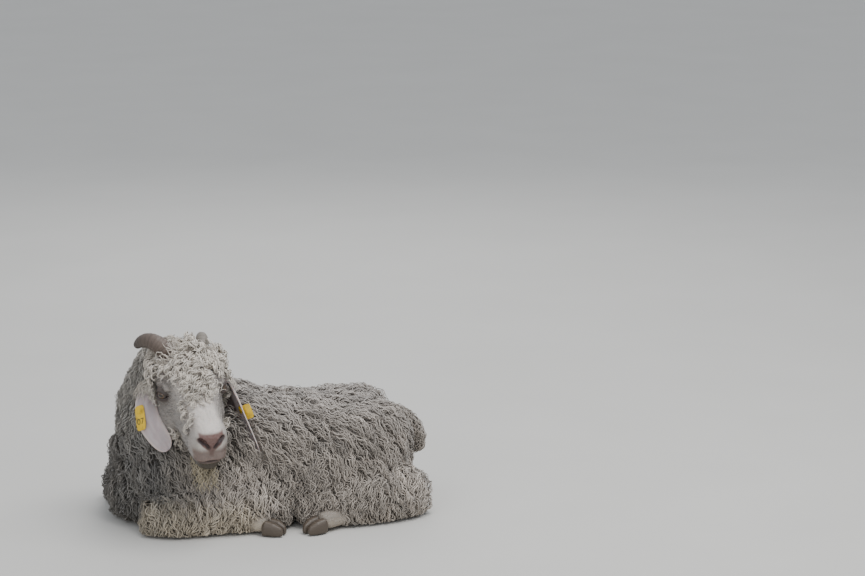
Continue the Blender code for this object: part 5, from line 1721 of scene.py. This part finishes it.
# The wall of a claw has growth lines round it, about 3 mm apart.
lines = add_node(tree, "ShaderNodeTexWave", {"Scale": 105.0, "Distortion": 2.0, "Detail": 2.0},
                 {"Vector": place.outputs["Object"]}, bands_direction="Z").outputs["Fac"]
finish(tree, shader, ramp(tree, lines, (0.0, rgba("#483e34")), (1.0, rgba("#52473c"))), lines, 0.2, 0.0003)
print("horn and hoof are ready")

# %% [markdown]
# The eye is a wet cornea over an amber iris, and a goat's pupil is a level slot. A clear shell over
# a modelled iris would be closer to life, but a clear coat on one ball looks the same at this size.
# Iris and pupil are drawn from each point's place across the eye.

# %% Eye
eye_stuff, tree, shader = new_material("wet_eye", Roughness=0.08, IOR=1.376, Coat_Weight=1.0, Coat_Roughness=0.03)
flat_place = add_node(tree, "ShaderNodeCombineXYZ",
                      links={"X": stored(tree, "across_iris"), "Y": stored(tree, "up_iris")}).outputs[0]
radius = add_node(tree, "ShaderNodeVectorMath", operation="LENGTH", links={0: flat_place})
iris = ramp(tree, radius.outputs["Value"],
            (0.25, rgba("#4a341d")), (0.52, rgba("#543c21")), (0.66, rgba("#1e140e")))
# The iris has rays about 1 mm apart.
rays = add_node(tree, "ShaderNodeTexNoise", {"Scale": 14.0, "Detail": 3.0}, {"Vector": flat_place})
rayed = times(tree, iris, spanned(tree, rays.outputs["Fac"], 0.6, 1.35))
# The pupil is a rounded slot, 0.87 of the eyeball's radius long and 0.31 high.
slot = add_node(tree, "ShaderNodeVectorMath", {1: (2.3, 6.5, 1.0)}, {0: flat_place}, operation="MULTIPLY")
slot_length = add_node(tree, "ShaderNodeVectorMath", operation="LENGTH", links={0: slot.outputs[0]})
in_slot = spanned(tree, slot_length.outputs["Value"], 0.0, 1.0, start=1.1, stop=0.9)
pupil = add_node(tree, "ShaderNodeMix", {"B": rgba("#050404")}, {"Factor": in_slot, "A": rayed}, data_type="RGBA")
finish(tree, shader, pupil.outputs["Result"])
print("the eye is ready")

# %% [markdown]
# Ear tags are moulded of soft yellow plastic, which dulls and stains in use. One noise gives the
# stains and their slight relief. The print on the plate is dark and worn.

# %% Tag plastic and its print
tag_plastic, tree, shader = new_material("moulded_polyurethane", Roughness=0.42, IOR=1.5)
grime = noise_on(tree, 70.0, 5.0)  # patches about 14 mm wide
finish(tree, shader, ramp(tree, grime, (0.30, rgba("#a08112")), (0.52, rgba("#d8b21c"))), grime, 0.15, 0.0003)
print_ink, tree, shader = new_material("dark_print", Roughness=0.6)
# The print is worn in spots about 2.5 mm wide.
finish(tree, shader, ramp(tree, noise_on(tree, 400.0), (0.0, rgba("#1c1a17")), (1.0, rgba("#4a4436"))))
print("materials:", len(bpy.data.materials))

# %% [markdown]
# ## Dressing the frame
# Every piece now gets its material and moves into the imported model's frame, and the solids that a
# piece stands for are hidden. The goat is still, so every piece rides on the one body, root.

# %% Pieces and solids
FLESH = ["torso", "neck", "head", "foreleg_left", "foreleg_right", "hindleg_left", "hindleg_right", "tail"]
pieces = [(skin, skin_hair, "face_hair", FLESH)]
pieces += [(piece, mohair, "fleece", []) for piece in fleece + [topknot, ear_locks, tail_locks]]
pieces.append((short_hair, mohair, "face_hair", []))
pieces.append((leg_hair, mohair, "fleece", []))
pieces.append((beard, mohair, "beard_hair", ["beard"]))
for name in ("left", "right"):
    pieces.append((eyes[name], eye_stuff, "eye", ["eye_" + name]))
    pieces.append((horns[name], horn_stuff, "horn", ["horn_" + name]))
    pieces.append((ears[name], ear_skin, "ear_skin", ["ear_" + name]))
    pieces.append((tags[name][0], tag_plastic, "tag_plastic", ["ear_tag_" + name]))
    pieces.append((tags[name][1], print_ink, "tag_plastic", []))
pieces += [(claw, hoof_stuff, "hoof", ["claw_" + name]) for name, claw in claws.items()]
for helper in (core, face_form):
    bpy.data.objects.remove(helper)
for piece, material, slot, nodes in pieces:
    piece.data.materials.clear()
    piece.data.materials.append(material)
    piece.data.transform(GOAT)
    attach(piece, "root")
    if nodes:
        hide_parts(*nodes)
triangles = {piece.name: sum(len(p.vertices) - 2 for p in piece.data.polygons) for piece, *_ in pieces}
print("pieces:", len(pieces), "triangles in all:", sum(triangles.values()))
print({name: count for name, count in triangles.items() if count > 20000})

# %% [markdown]
# ## Floor and lights
# The floor is plain and pale. The photo's light is an even overcast sky. A sky picture could give
# it, but wide soft lights are simpler to steer: one hangs above and a little to the right, and
# weaker ones stand in front and behind.

# %% Floor and lights
corners = [(-40, -40, -0.002), (40, -40, -0.002), (40, 40, -0.002), (-40, 40, -0.002)]
stage = mesh_object("floor", [(corners, [(0, 1, 2, 3)])])
if stage.data.polygons[0].normal.z < 0:
    stage.data.flip_normals()
# The floor is mottled in patches about a third of a metre wide.
plain, tree, shader = new_material("pale_floor", Roughness=0.85)
finish(tree, shader, ramp(tree, noise_on(tree, 3.0), (0.0, rgba("#bcbab5")), (1.0, rgba("#c3c1bc"))))
stage.data.materials.append(plain)


def soft_light(name, place, target, size, power):
    """A square soft light that looks at its target."""
    lamp = bpy.data.lights.new(name, "AREA")
    lamp.size, lamp.energy = size, power
    obj = new_object(name, lamp)
    obj.location = place
    obj.rotation_euler = (Vector(target) - Vector(place)).to_track_quat("-Z", "Y").to_euler()


soft_light("sky_light", (0.9, -0.9, 3.2), (0.0, 0.0, 0.1), 2.4, 105)
soft_light("front_light", (-2.2, -3.4, 1.3), (0.0, 0.0, 0.2), 2.0, 34)
soft_light("back_light", (0.8, 3.0, 2.2), (0.0, 0.0, 0.2), 1.8, 30)
world = bpy.data.worlds.new("studio")
bpy.context.scene.world = world
world.use_nodes = True
sky = world.node_tree.nodes["Background"].inputs
sky["Color"].default_value = (0.80, 0.84, 0.90, 1.0)
sky["Strength"].default_value = 0.95

print("lights:", len(bpy.data.lights))

# %% [markdown]
# ## Camera
# The camera stands where the photographer's did: 15 degrees towards the goat's head from side-on
# and 12 degrees up, with a long lens. It keeps the photo's framing, in which the goat fills the
# lower left. A camera can be turned by angles, but its three axes written as a matrix are safer.

# %% Camera
AZIMUTH, ELEVATION, DISTANCE, LENS = math.radians(-15), math.radians(12), 7.0 * LIFE_SIZE, 128.0
AIM_RIGHT, AIM_UP = 0.3926, 0.4984  # the picture's middle, seen from where the goat's own frame starts
level = math.cos(ELEVATION)
back = Vector((math.sin(AZIMUTH) * level, -math.cos(AZIMUTH) * level, math.sin(ELEVATION)))
right = Vector((math.cos(AZIMUTH), math.sin(AZIMUTH), 0.0))
up = back.cross(right)
aim = PLACE + (right * AIM_RIGHT + up * AIM_UP) * LIFE_SIZE
camera_data = bpy.data.cameras.new("camera")
camera_data.lens, camera_data.sensor_width = LENS, 36.0
camera = new_object("camera", camera_data)
turn = Matrix((right, up, back)).transposed().to_4x4()
camera.matrix_world = Matrix.Translation(aim + back * DISTANCE) @ turn
bpy.context.scene.camera = camera
print("the camera is", round(DISTANCE, 2), "m away")
